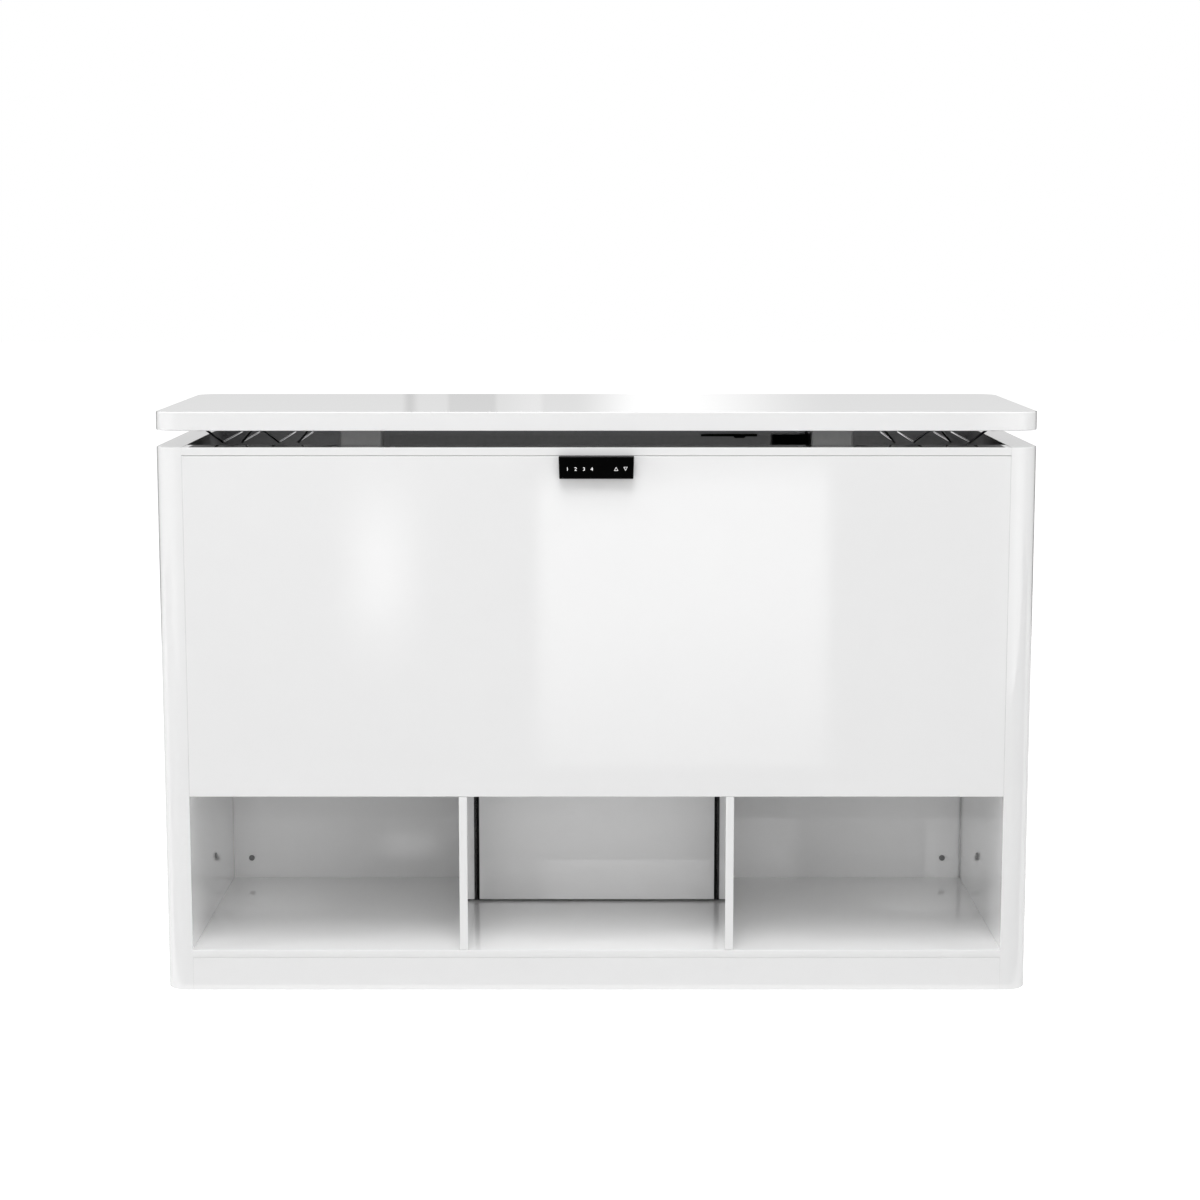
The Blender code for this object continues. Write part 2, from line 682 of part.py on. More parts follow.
def make_drive(label, x, carcass, lift):
    """The motor under the top plate, the screw that it turns and the nut in the fixed tube's head."""
    body_low = BOSS_LENGTH + GEARBOX_LENGTH - MOTOR_LENGTH
    profile = [
        (0, 0),
        (MOTOR_RADIUS, 0),
        (MOTOR_RADIUS, body_low),
        (GEARBOX_RADIUS, body_low),
        (GEARBOX_RADIUS, BOSS_LENGTH - MOTOR_LENGTH),
        (BOSS_RADIUS, BOSS_LENGTH - MOTOR_LENGTH),
        (BOSS_RADIUS, -MOTOR_LENGTH),
        (0, -MOTOR_LENGTH),
    ]
    turned(f"{label}_column_motor", profile, "zinc_steel", lift, (x, MIDDLE_Y, MOTOR_TOP))

    length = SCREW_HIGH - SCREW_LOW
    tip = SCREW_RADIUS / 2
    profile = [
        (0, 0),
        (SCREW_RADIUS, 0),
        (SCREW_RADIUS, tip - length),
        (tip, -length),
        (0, -length),
    ]
    spindle = new_body(f"{label}_screw_axis", (x, MIDDLE_Y, SCREW_HIGH), lift)
    turned(f"{label}_drive_screw", profile, "zinc_steel", spindle, (x, MIDDLE_Y, SCREW_HIGH))

    name = f"{label}_drive_nut"
    width, depth, radius = tube_size(2)
    inset = 2 * (TUBE_WALL + SEAT)
    size = (width - inset, depth - inset, NUT_HEIGHT)
    mesh = finish_mesh(block(size, max(radius - TUBE_WALL, TUBE_WALL), steps=TUBE_STEPS), name)
    place = (x, MIDDLE_Y, INNER_HIGH - NUT_INSET - NUT_HEIGHT / 2)
    nut = add_part(name, mesh, "glide_plastic", carcass, place)
    bore = round_cutter(f"{name}_bore", SCREW_RADIUS + SEAT, NUT_HEIGHT + 2 * CUT_PAST, place)
    boolean(nut, bore)


def make_slab(lift):
    name = "top_slab"
    mesh = finish_mesh(block((WIDTH, DEPTH, SLAB_THICKNESS), CORNER_RADIUS), name, True)
    slab = add_part(name, mesh, "white_lacquer", lift, (0, MIDDLE_Y, SLAB_UNDER + SLAB_THICKNESS / 2))
    soften(slab, SLAB_EDGE, 3)


def finger_run(side):
    """Corners of one wire of a finger from its front eye to its rear one: down, straight along, up."""
    high = -(SEAT + WIRE_RADIUS)
    end = FINGER_RUN + FLARE_RUN
    corners = (
        (side * EYE_RADIUS, -end, high),
        (side * FINGER_HALF, -FINGER_RUN, -RACK_DROP),
        (side * FINGER_HALF, FINGER_RUN, -RACK_DROP),
        (side * EYE_RADIUS, end, high),
    )
    return [(Vector(corner), WIRE_BEND) for corner in corners]


def finger_eye(side, rear):
    """The half turn round a fixing screw at one end of a finger, starting on one side of the screw."""
    middle_y = rear * (FINGER_RUN + FLARE_RUN + EYE_TAIL)
    steps = 2 * WIRE_STEPS
    points = []
    for step in range(steps + 1):
        turn = math.pi * step / steps
        x = side * EYE_RADIUS * math.cos(turn)
        y = middle_y + rear * EYE_RADIUS * math.sin(turn)
        points.append((Vector((x, y, -(SEAT + WIRE_RADIUS))), 0))
    return points


def make_fingers(label, side, lift):
    """Three wire fingers that leave two stemware slots between them."""
    whole = finger_run(1) + finger_eye(1, 1) + finger_run(-1)[::-1] + finger_eye(-1, -1)
    fingers = [("middle", 0, whole, True)]
    for name, offset in (("outer", side), ("inner", -side)):
        wire_side = -offset
        half = finger_eye(-wire_side, -1) + finger_run(wire_side) + finger_eye(wire_side, 1)
        fingers.append((name, offset, half, False))
    for name, offset, corners, closed in fingers:
        x = side * RACK_X + offset * SLOT_PITCH
        points = rounded_path(corners)
        place = (x, MIDDLE_Y, SLAB_UNDER)
        wire(f"{label}_rack_{name}_finger", points, WIRE_RADIUS, "chrome_wire", lift, place, closed)


def make_control_box(lift):
    """The control box on the right column's inner face, its bracket and its lead into the column head."""
    column_face = COLUMN_X - OUTER_TUBE_WIDTH / 2
    plate_x = column_face - SEAT - BRACKET_THICKNESS
    box_right = plate_x - SEAT
    top = SLAB_UNDER - BOX_DROP
    name = "control_box"
    mesh = finish_mesh(block((BOX_WIDTH, BOX_DEPTH, BOX_HEIGHT), BOX_RADIUS, steps=TUBE_STEPS), name, True)
    place = (box_right - BOX_WIDTH / 2, MIDDLE_Y, top - BOX_HEIGHT / 2)
    soften(add_part(name, mesh, "black_plastic", lift, place), PLASTIC_EDGE)

    half_y = BRACKET_WIDTH / 2
    room = SEAT + BRACKET_THICKNESS
    low = (box_right - BRACKET_LIP, MIDDLE_Y - half_y, top - BOX_HEIGHT - room)
    high = (plate_x + BRACKET_THICKNESS, MIDDLE_Y + half_y, top + room)
    bracket = board("control_box_bracket", low, high, "zinc_steel", lift, edge=0)
    low = (box_right - BRACKET_LIP - CUT_PAST, MIDDLE_Y - BRACKET_WIDTH, top - BOX_HEIGHT - SEAT)
    boolean(bracket, box_cutter("bracket_room", low, (plate_x, MIDDLE_Y + BRACKET_WIDTH, top + SEAT)))

    x = column_face - LEAD_INSET
    y = MIDDLE_Y - LEAD_FORWARD
    corners = [
        (Vector((x, y, top + SEAT)), 0),
        (Vector((x, y, top + LEAD_RISE)), LEAD_INSET - LEAD_RADIUS),
        (Vector((column_face - SEAT, y, top + LEAD_RISE)), 0),
    ]
    wire("control_lead", rounded_path(corners), LEAD_RADIUS, "black_plastic", lift, (0, 0, 0))


SIDES = (("left", -1), ("right", 1))


def main():
    carcass = new_body("carcass")
    lift = new_body("lift_top", (0, MIDDLE_Y, SLAB_UNDER), carcass)
    make_sides(carcass)
    lead_hole = make_front(carcass)
    make_back(carcass)
    make_bays(carcass)
    make_lining(carcass, lead_hole)
    make_keypad(carcass)
    make_supply(carcass)
    make_clip_bar(carcass)
    make_slab(lift)
    for label, side in SIDES:
        make_column(label, side, carcass, lift)
        make_fingers(label, side, lift)
    make_control_box(lift)


main()
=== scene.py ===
"""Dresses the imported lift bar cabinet: white lacquer, charcoal lining, painted columns and chrome racks."""

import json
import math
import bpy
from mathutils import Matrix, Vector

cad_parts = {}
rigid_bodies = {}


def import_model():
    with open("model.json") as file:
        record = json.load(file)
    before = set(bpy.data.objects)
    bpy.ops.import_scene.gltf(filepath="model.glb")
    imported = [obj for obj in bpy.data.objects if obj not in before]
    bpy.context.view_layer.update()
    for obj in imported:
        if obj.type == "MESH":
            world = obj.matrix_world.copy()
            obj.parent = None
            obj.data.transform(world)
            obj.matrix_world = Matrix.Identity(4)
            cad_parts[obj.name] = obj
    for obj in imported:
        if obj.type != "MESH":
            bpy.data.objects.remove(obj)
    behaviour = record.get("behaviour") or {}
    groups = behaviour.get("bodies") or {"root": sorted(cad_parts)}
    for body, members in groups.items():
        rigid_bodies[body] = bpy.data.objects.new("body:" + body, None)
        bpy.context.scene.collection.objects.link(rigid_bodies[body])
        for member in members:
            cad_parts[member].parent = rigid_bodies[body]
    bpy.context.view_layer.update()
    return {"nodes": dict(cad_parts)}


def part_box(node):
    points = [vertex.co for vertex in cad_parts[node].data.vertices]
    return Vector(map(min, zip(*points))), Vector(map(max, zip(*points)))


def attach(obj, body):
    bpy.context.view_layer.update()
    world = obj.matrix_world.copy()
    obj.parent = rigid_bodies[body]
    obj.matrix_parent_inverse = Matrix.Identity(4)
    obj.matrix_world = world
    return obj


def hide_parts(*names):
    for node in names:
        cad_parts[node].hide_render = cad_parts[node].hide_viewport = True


bl_info = {
    "name": "Lift Bar Cabinet",
    "version": (1, 0, 0),
    "blender": (4, 5, 0),
    "location": "View3D > Sidebar > Bar Cabinet",
    "description": "Finishes, small fittings and studio for the lift bar cabinet",
    "category": "Object",
}

import bmesh
import bpy
from bpy.props import FloatProperty, FloatVectorProperty, IntProperty, PointerProperty
from mathutils import Matrix, Vector

for leftover in list(bpy.data.objects):
    bpy.data.objects.remove(leftover)
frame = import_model()

# The two bodies that carry the added pieces
FIXED = "carcass"
LIFTED = "lift_top"
SIDES = (("left", -1), ("right", 1))

# Directions
UP = (0, 0, 1)
DOWN = (0, 0, -1)
TO_FRONT = (0, -1, 0)
TO_BACK = (0, 1, 0)

# Camera of the photograph, in metres, degrees and millimetres, for its frame of 1200 x 1200
CAMERA_PLACE = (0.00829, -4.8147, 1.37875)
CAMERA_TILT = 81.92
CAMERA_LENS = 75.71
CAMERA_SENSOR = 36.0
CAMERA_SHIFT = -0.95 / 1200
CAMERA_REACH = 200.0

# Surfaces: roughness, drift of tone and roughness, patches per metre, and grain as told in new_finish
LACQUER_SURFACE = (0.025, (0.006, 0.005), 3.0, (420.0, 120.0, 0.5, 0.0000015))
CHARCOAL_SURFACE = (0.5, (0.10, 0.05), 140.0, (1600.0, 500.0, 0.3, 0.00003))
COAT_ROUGHNESS = 0.008

# Eased edges: facets, and the turns in degrees above which an edge is eased or stays sharp
EDGE_STEPS = 3
SLAB_EDGE_STEPS = 5
EASED_TURN = 40
SHARP_TURN = 35
FLAT_TURN = 20

# How far the side panels reach over the eased ends of the boards between them
SEAM_COVER = 0.0005

# Nodes by finish
LACQUERED = (
    "front_fascia", "back_panel", "front_plinth", "rear_plinth", "left_divider",
    "right_divider", "well_deck", "service_hatch",
)
LINED = (
    "left_well_liner", "right_well_liner", "front_well_liner", "rear_well_liner", "well_floor_liner",
)
RAILS = (("front_top_rail", TO_BACK), ("rear_top_rail", TO_FRONT))
PAINTED_TUBES = ("inner_tube", "middle_tube", "outer_tube")
GLIDES = ("inner_guide", "middle_guide", "middle_collar", "outer_collar", "drive_nut")
PLATED = ("column_base", "column_top_plate", "column_motor", "drive_screw")
BLACK_PARTS = (
    "keypad_housing", "lead_clip_bar", "power_supply", "mains_inlet", "control_box", "control_lead",
)

# How squarely a face must point towards a dark side to be charcoal, as a cosine: on the rails the lining of
# the well, on the slab's underside painted shade
RAIL_SQUARENESS = 0.9
# The slab is white lacquer underneath too; the charcoal on its underside is painted shade
SLAB_SHADE_SQUARENESS = 0.98

# Racks: the run of each wire below the slab
RACK_MIDDLE = 0.6258
SLOT_PITCH = 0.1049
FINGER_HALF = 0.03485
FINGER_RUN = 0.125
FLARE_RUN = 0.0485
RACK_DROP = 0.0324
EYE_RADIUS = 0.0068
EYE_TAIL = 0.006
WIRE_BEND = 0.012
WIRE_SEAT = 0.0003
BEND_STEPS = 10
EYE_STEPS = 20
WIRE_RING = 5

# Keypad print: digits and arrows, left to right, in metres from the middle of the cabinet
DIGITS = (("1", -0.0521), ("2", -0.0373), ("3", -0.0224), ("4", -0.0082))
ARROWS = (("up", 0.0356, 1), ("down", 0.0525, -1))
PRINT_Z = 0.9739
PRINT_DEPTH = 0.00008
DIGIT_RATIO = 0.729
ARROW_WIDTH = 1.12
ARROW_STROKE = 0.095

# Connector covers in the side bays
BACK_COVER_X = 0.713
BACK_COVER_Z = 0.118
SIDE_COVER_Y = 0.027
SIDE_COVER_Z = 0.184

# Rim of a connector cover from its foot inwards: share of the radius, depth below its front
COVER_RIM = ((1.0, 0.0012), (0.92, 0.0004), (0.76, 0.0), (0.62, 0.0), (0.58, 0.0006))
COVER_STEPS = 32

# Fasteners: height and drive radius of their heads, and where they sit
BOLT_HEAD = (0.0032, 0.0021)
RACK_SCREW_HEAD = (0.0026, 0.0020)
PANEL_SCREW_HEAD = (0.0016, 0.0014)
PANEL_SCREW_RADIUS = 0.0042
BOLT_INSET = 0.014
PANEL_SCREW_X = (-0.735, -0.49, -0.246, 0.246, 0.49, 0.735)
PANEL_SCREW_Z = (0.069, 0.3745, 0.985)

# Dome of a head from its foot up, as shares of its height and radius, and the walls of its drive
HEAD_DOME = ((0, 0.97), (0.12, 1.0), (0.45, 0.96), (0.78, 0.80), (0.95, 0.58))
DRIVE_RIM = 1.12
DRIVE_LIP = 0.97
DRIVE_FLOOR = 0.45
HEAD_STEPS = 24

# Stage: turns of its planes in degrees, and what the floor gives off to the camera and to mirrors
UPRIGHT = (90, 0, 0)
LEVEL = (0, 0, 0)
FLOOR_SIZE = 60
FLOOR_LIFT = 0.75
FLOOR_MIRROR_LIFT = 0.15
FULL_SPREAD = 180

# Cards that show only in reflections: name, width and height, place, level of light, and the soft width
# along the left, right, lower and upper edge
UPRIGHT_CARDS = (
    ("backdrop_card", (10, 3.4), (0, 3.6, 1.5), 0.73, None),
    ("left_flag_card", (3.6, 3.4), (-3.5, 3.5, 1.5), 0.05, (0.1, 0.15, 0.1, 0.1)),
    ("right_flag_card", (3.6, 3.4), (3.25, 3.5, 1.5), 0.05, (0.15, 0.1, 0.1, 0.1)),
    ("slab_glow_card", (0.87, 1.2), (0.34, 3.4, 1.45), 1.05, (0.27, 0.57, 0.1, 0.1)),
    ("bright_fold_card", (0.165, 1.2), (-0.2535, 3.41, 1.45), 0.795, (0.14, 0.025, 0.1, 0.1)),
    ("wide_fold_card", (0.175, 1.2), (-0.4105, 3.4, 1.45), 0.637, (0.02, 0.02, 0.1, 0.1)),
    ("slim_fold_card", (0.065, 1.2), (-0.611, 3.4, 1.45), 0.60, (0.03, 0.035, 0.1, 0.1)),
    ("dark_front_card", (15, 6), (0, -6.5, 2.9), 0.03, (2.5, 2.5, 0.01, 0.5)),
    ("left_glow_card", (0.36, 0.78), (-0.655, -3.27, 0.41), 1.25, (0.18, 0.18, 0.39, 0.39)),
    ("right_glow_card", (0.83, 1.27), (0.224, -2.27, 0.23), 1.15, (0.07, 0.07, 1.0, 0.14)),
    ("left_strip_card", (5.0, 2.4), (-3.77, -3.3, 1.2), 0.55, (3.0, 0.25, 0.01, 0.6)),
    ("right_strip_card", (5.0, 2.4), (3.67, -3.3, 1.2), 1.15, (0.25, 3.0, 0.01, 0.6)),
)
LEVEL_CARDS = (
    ("overhead_card", (4.0, 1.85), (0, -1.375, 3.6), 4.0, None),
    ("dark_floor_card", (14, 6.2), (0, -3.39, 0.002), 0.05, None),
)

# Lamps: name, setting with its power, place, point aimed at, width and height, and the nodes it lights if
# it doesn't light all
LAMPS = (
    ("key_lamp", "key", (-6.2, -1.6, 2.6), (0, 0, 0.6), (2.0, 2.0), None),
    ("fill_lamp", "fill", (6.2, -1.6, 2.6), (0, 0, 0.6), (2.0, 2.0), None),
    ("front_lamp", "front", (0, -4.9, 1.3), (0, 0, 0.4), (2.4, 1.6), None),
    ("top_lamp", "top", (-0.3, -2.6, 5.2), (0, -0.2, 0.4), (3.2, 3.0), None),
    ("bay_lamp", "bays", (0, -0.245, 0.362), (0, 0.05, 0.08), (1.5, 0.03), None),
    ("well_lamp", "well", (0, 0.05, 0.94), (0, 0.3, 0.985), (1.45, 0.05), (*LINED, "rear_top_rail")),
    (
        "column_lamp", "columns", (0, -0.2, 0.96), (0, 0, 0.985), (1.45, 0.05),
        ("left_outer_tube", "right_outer_tube", "control_lead"),
    ),
)

# The same for lamps in pairs, on the right-hand side, with their spread in degrees before the nodes
PAIRED_LAMPS = (
    ("corner_lamp", "corners", (0.58, -0.05, 0.22), (0.75, 0.276, 0.08), (0.12, 0.12), 95, None),
    ("well_lamp", "well_ends", (0.6, 0.05, 0.94), (0.74, 0.2, 0.975), (0.25, 0.05), FULL_SPREAD, LINED),
)


# Settings


class CABINET_PG_sizes(bpy.types.PropertyGroup):
    """Sizes of the pieces that are rounded or added here"""

    corner_radius: FloatProperty(
        name="Corner radius", description="Rounding of the outer corners of the slab and side panels",
        default=0.040, unit="LENGTH",
    )
    corner_steps: IntProperty(
        name="Corner steps", description="Facets in each rounded corner", default=28,
    )
    slab_edge: FloatProperty(
        name="Slab edge", description="Rounding of the slab's upper and lower edges",
        default=0.0019, unit="LENGTH",
    )
    board_edge: FloatProperty(
        name="Board edge", description="Rounding of the edges of side panels and bay floor",
        default=0.0004, unit="LENGTH",
    )
    wire_radius: FloatProperty(
        name="Wire radius", description="Radius of the rack wire", default=0.0022, unit="LENGTH",
    )
    print_height: FloatProperty(
        name="Print height", description="Height of the digits and arrows on the keypad",
        default=0.0067, unit="LENGTH",
    )
    cover_radius: FloatProperty(
        name="Cover radius", description="Radius of the connector covers", default=0.0058, unit="LENGTH",
    )
    cover_height: FloatProperty(
        name="Cover height", description="How far the connector covers stand out",
        default=0.0036, unit="LENGTH",
    )
    screw_radius: FloatProperty(
        name="Screw head radius", description="Radius of the rack screw heads",
        default=0.0072, unit="LENGTH",
    )
    bolt_radius: FloatProperty(
        name="Bolt head radius", description="Radius of the bolt heads on the column plates",
        default=0.0058, unit="LENGTH",
    )


class CABINET_PG_finishes(bpy.types.PropertyGroup):
    """Colours of the finishes"""

    lacquer: FloatVectorProperty(
        name="Lacquer", description="White gloss lacquer of the carcass and slab",
        default=(0.94, 0.94, 0.94), subtype="COLOR",
    )
    charcoal: FloatVectorProperty(
        name="Charcoal", description="Lining of the well", default=(0.056, 0.056, 0.057), subtype="COLOR",
    )
    column: FloatVectorProperty(
        name="Column grey", description="Paint of the lift columns", default=(0.16, 0.16, 0.16),
        subtype="COLOR",
    )
    black: FloatVectorProperty(
        name="Black plastic", description="Keypad housing, control box and leads",
        default=(0.004, 0.004, 0.004), subtype="COLOR",
    )
    keypad: FloatVectorProperty(
        name="Keypad face", description="Touch face of the keypad", default=(0.0014, 0.0014, 0.0014),
        subtype="COLOR",
    )
    print_white: FloatVectorProperty(
        name="Keypad print", description="Digits and arrows", default=(0.84, 0.84, 0.84), subtype="COLOR",
    )
    chrome: FloatVectorProperty(
        name="Chrome", description="Plating of the rack wires", default=(0.55, 0.55, 0.56),
        subtype="COLOR",
    )
    zinc: FloatVectorProperty(
        name="Zinc", description="Plates, motors and screws", default=(0.48, 0.48, 0.50), subtype="COLOR",
    )
    glide: FloatVectorProperty(
        name="Glide plastic", description="Guides, collars and nuts", default=(0.60, 0.60, 0.58),
        subtype="COLOR",
    )
    cover: FloatVectorProperty(
        name="Connector cover", description="Small covers in the side bays", default=(0.22, 0.22, 0.22),
        subtype="COLOR",
    )
    # The cleats' near-black colour is painted shade for the gaps round the hatch
    wood: FloatVectorProperty(
        name="Cleat wood", description="Black-stained softwood of the cleats behind the hatch",
        default=(0.012, 0.011, 0.010), subtype="COLOR",
    )


class CABINET_PG_stage(bpy.types.PropertyGroup):
    """Floor colour and levels of light"""

    floor: FloatVectorProperty(
        name="Floor", description="Colour of the plain floor", default=(0.76, 0.76, 0.76),
        subtype="COLOR",
    )
    sky: FloatProperty(name="Sky", description="Level of the even light all round", default=0.455)
    key: FloatProperty(
        name="Key lamp", description="Power of the soft lamp on the left", default=100, unit="POWER",
    )
    fill: FloatProperty(
        name="Fill lamp", description="Power of the soft lamp on the right", default=70, unit="POWER",
    )
    front: FloatProperty(
        name="Front lamp", description="Power of the soft lamp behind the camera", default=14, unit="POWER",
    )
    top: FloatProperty(
        name="Top lamp", description="Power of the soft lamp high in front", default=137, unit="POWER",
    )
    bays: FloatProperty(
        name="Bay lamp", description="Power of the strip under the front of the bays", default=0.19,
        unit="POWER",
    )
    corners: FloatProperty(
        name="Corner lamps", description="Power of each lamp for the rear corner of a side bay",
        default=0.024, unit="POWER",
    )
    well: FloatProperty(
        name="Well lamp", description="Power of the strip for the lining of the well", default=1.65,
        unit="POWER",
    )
    well_ends: FloatProperty(
        name="Well end lamps", description="Power of each lamp for an end of the well", default=0.13,
        unit="POWER",
    )
    columns: FloatProperty(
        name="Column lamp", description="Power of the strip for the lift columns", default=1.33,
        unit="POWER",
    )


# Shader groups


def make_group(name, inputs, outputs):
    """An empty shader group with its named sockets, and its input and output nodes."""
    group = bpy.data.node_groups.new(name, "ShaderNodeTree")
    for label, kind, default in inputs:
        socket = group.interface.new_socket(label, in_out="INPUT", socket_type=kind)
        socket.default_value = default
    for label, kind in outputs:
        group.interface.new_socket(label, in_out="OUTPUT", socket_type=kind)
    return group, group.nodes.new("NodeGroupInput"), group.nodes.new("NodeGroupOutput")


def add_node(tree, kind, settings=None, **values):
    """A node with its settings, and the values of its inputs by name."""
    node = tree.nodes.new(kind)
    for key, value in (settings or {}).items():
        setattr(node, key, value)
    for key, value in values.items():
        node.inputs[key.replace("_", " ")].default_value = value
    return node


def maths(tree, operation, first, second):
    """A Math node of two inputs, each a socket or a number."""
    node = tree.nodes.new("ShaderNodeMath")
    node.operation = operation
    for socket, given in zip(node.inputs, (first, second)):
        if isinstance(given, bpy.types.NodeSocket):
            tree.links.new(given, socket)
        else:
            socket.default_value = given
    return node.outputs[0]


def tone_drift_group():
    """Slow unevenness of a finish: its colour and its roughness wander a little over the surface."""
    group, given, out = make_group(
        "tone_drift",
        (
            ("Colour", "NodeSocketColor", (0.8, 0.8, 0.8, 1)),
            ("Drift", "NodeSocketFloat", 0.01),
            ("Patches", "NodeSocketFloat", 5.0),
            ("Roughness", "NodeSocketFloat", 0.2),
            ("Roughness Drift", "NodeSocketFloat", 0.02),
        ),
        (("Colour", "NodeSocketColor"), ("Roughness", "NodeSocketFloat")),
    )
    where = group.nodes.new("ShaderNodeTexCoord")
    patches = add_node(group, "ShaderNodeTexNoise", Detail=4.0, Roughness=0.6)
    group.links.new(where.outputs["Object"], patches.inputs["Vector"])
    group.links.new(given.outputs["Patches"], patches.inputs["Scale"])
    swing = add_node(group, "ShaderNodeMapRange", From_Min=0.3, From_Max=0.7, To_Min=-1.0, To_Max=1.0)
    group.links.new(patches.outputs["Fac"], swing.inputs["Value"])
    level = maths(group, "MULTIPLY", swing.outputs["Result"], given.outputs["Drift"])
    level = maths(group, "ADD", level, 1.0)
    tinted = add_node(group, "ShaderNodeVectorMath", {"operation": "SCALE"})
    group.links.new(given.outputs["Colour"], tinted.inputs[0])
    group.links.new(level, tinted.inputs["Scale"])
    group.links.new(tinted.outputs[0], out.inputs["Colour"])
    rough = maths(group, "MULTIPLY", swing.outputs["Result"], given.outputs["Roughness Drift"])
    rough = maths(group, "ADD", rough, given.outputs["Roughness"])
    group.links.new(rough, out.inputs["Roughness"])
    return group


def fine_grain_group():
    """Height of a fine surface: small pits over wider waves."""
    group, given, out = make_group(
        "fine_grain",
        (
            ("Pits", "NodeSocketFloat", 900.0),
            ("Waves", "NodeSocketFloat", 150.0),
            ("Wave Share", "NodeSocketFloat", 0.4),
        ),
        (("Height", "NodeSocketFloat"),),
    )
    where = group.nodes.new("ShaderNodeTexCoord")
    heights = []
    for label in ("Pits", "Waves"):
        noise = add_node(group, "ShaderNodeTexNoise", Detail=2.0)
        group.links.new(where.outputs["Object"], noise.inputs["Vector"])
        group.links.new(given.outputs[label], noise.inputs["Scale"])
        heights.append(noise.outputs["Fac"])
    blend = add_node(group, "ShaderNodeMix", {"data_type": "FLOAT"})
    group.links.new(given.outputs["Wave Share"], blend.inputs["Factor"])
    group.links.new(heights[0], blend.inputs["A"])
    group.links.new(heights[1], blend.inputs["B"])
    group.links.new(blend.outputs["Result"], out.inputs["Height"])
    return group


def shared_group(name):
    """The shader group of that name, built the first time that a material asks for it."""
    builders = {"tone_drift": tone_drift_group, "fine_grain": fine_grain_group}
    return bpy.data.node_groups.get(name) or builders[name]()


def place_group(tree, name, **values):
    """A node of a shared group, with the values of its inputs by name."""
    node = tree.nodes.new("ShaderNodeGroup")
    node.node_tree = shared_group(name)
    for key, value in values.items():
        node.inputs[key.replace("_", " ")].default_value = value
    return node


# Finishes


def opaque(colour):
    """A colour with full alpha."""
    return (*colour, 1.0)


def new_finish(
    name, colour, roughness, drift, patches, grain, metallic=0.0, specular=0.5, coat=0.0, glow=0.0,
):
    """A finish whose tone and roughness drift, with a fine surface.

    The grain is (pits, waves, wave share, depth): two counts per metre, a share and a depth in metres.
    """
    material = bpy.data.materials.new(name)
    material.use_nodes = True
    tree = material.node_tree
    tree.nodes.clear()
    output = tree.nodes.new("ShaderNodeOutputMaterial")
    shader = add_node(
        tree, "ShaderNodeBsdfPrincipled", Metallic=metallic, Specular_IOR_Level=specular, Coat_Weight=coat,
        Coat_Roughness=COAT_ROUGHNESS, Emission_Color=opaque(colour), Emission_Strength=glow,
    )
    tree.links.new(shader.outputs["BSDF"], output.inputs["Surface"])
    tone = place_group(
        tree, "tone_drift", Colour=opaque(colour), Drift=drift[0], Patches=patches,
        Roughness=roughness, Roughness_Drift=drift[1],
    )
    tree.links.new(tone.outputs["Colour"], shader.inputs["Base Color"])
    tree.links.new(tone.outputs["Roughness"], shader.inputs["Roughness"])
    pits, waves, share, depth = grain
    fine = place_group(tree, "fine_grain", Pits=pits, Waves=waves, Wave_Share=share)
    bump = add_node(tree, "ShaderNodeBump", Strength=1.0, Distance=depth)
    tree.links.new(fine.outputs["Height"], bump.inputs["Height"])
    tree.links.new(bump.outputs["Normal"], shader.inputs["Normal"])
    return material


def kept_finish(name, *values, **more):
    """The finish of that name, made the first time that a piece asks for it."""
    return bpy.data.materials.get(name) or new_finish(name, *values, **more)


def lacquer_finish(finishes):
    return kept_finish("white_lacquer_gloss", finishes.lacquer, *LACQUER_SURFACE, coat=1.0)


def charcoal_finish(finishes):
    return kept_finish("charcoal_laminate_matt", finishes.charcoal, *CHARCOAL_SURFACE)


def column_finish(finishes):
    return kept_finish(
        "column_grey_powder_coat", finishes.column, 0.42, (0.05, 0.05), 90.0, (1500.0, 700.0, 0.4, 0.00004),
    )


def black_finish(finishes):
    return kept_finish(
        "black_moulded_plastic", finishes.black, 0.36, (0.12, 0.06), 60.0, (2200.0, 900.0, 0.4, 0.00003),
        specular=0.12,
    )


def keypad_finish(finishes):
    return kept_finish(
        "keypad_gloss_face", finishes.keypad, 0.16, (0.15, 0.05), 40.0, (300.0, 90.0, 0.7, 0.000002),
        specular=0.02,
    )


# The print gives off light of its own colour: a painted glow that makes it brighter than the lamps light it
def glowing_print_finish(finishes):
    return kept_finish(
        "keypad_white_print", finishes.print_white, 0.5, (0.03, 0.05), 400.0,
        (4000.0, 1500.0, 0.4, 0.00001), glow=0.5,
    )


def chrome_finish(finishes):
    return kept_finish(
        "rack_chrome_plate", finishes.chrome, 0.04, (0.03, 0.02), 60.0, (500.0, 120.0, 0.6, 0.000003),
        metallic=1.0,
    )


def glide_finish(finishes):
    return kept_finish(
        "glide_acetal", finishes.glide, 0.4, (0.04, 0.05), 50.0, (1200.0, 300.0, 0.4, 0.00002),
    )


def cover_finish(finishes):
    return kept_finish(
        "connector_cover_grey", finishes.cover, 0.4, (0.06, 0.05), 300.0, (2600.0, 800.0, 0.4, 0.00002),
    )


def shader_of(material):
    """The Principled node of a finish."""
    return next(node for node in material.node_tree.nodes if node.type == "BSDF_PRINCIPLED")


def tint(material, pattern, low, high):
    """Scales the base colour of a finish by a pattern, between a low and a high share."""
    tree = material.node_tree
    base = shader_of(material).inputs["Base Color"]
    drifted = base.links[0].from_socket
    share = add_node(tree, "ShaderNodeMapRange", To_Min=low, To_Max=high)
    tree.links.new(pattern, share.inputs["Value"])
    tinted = add_node(tree, "ShaderNodeVectorMath", {"operation": "SCALE"})
    tree.links.new(drifted, tinted.inputs[0])
    tree.links.new(share.outputs["Result"], tinted.inputs["Scale"])
    tree.links.new(tinted.outputs[0], base)


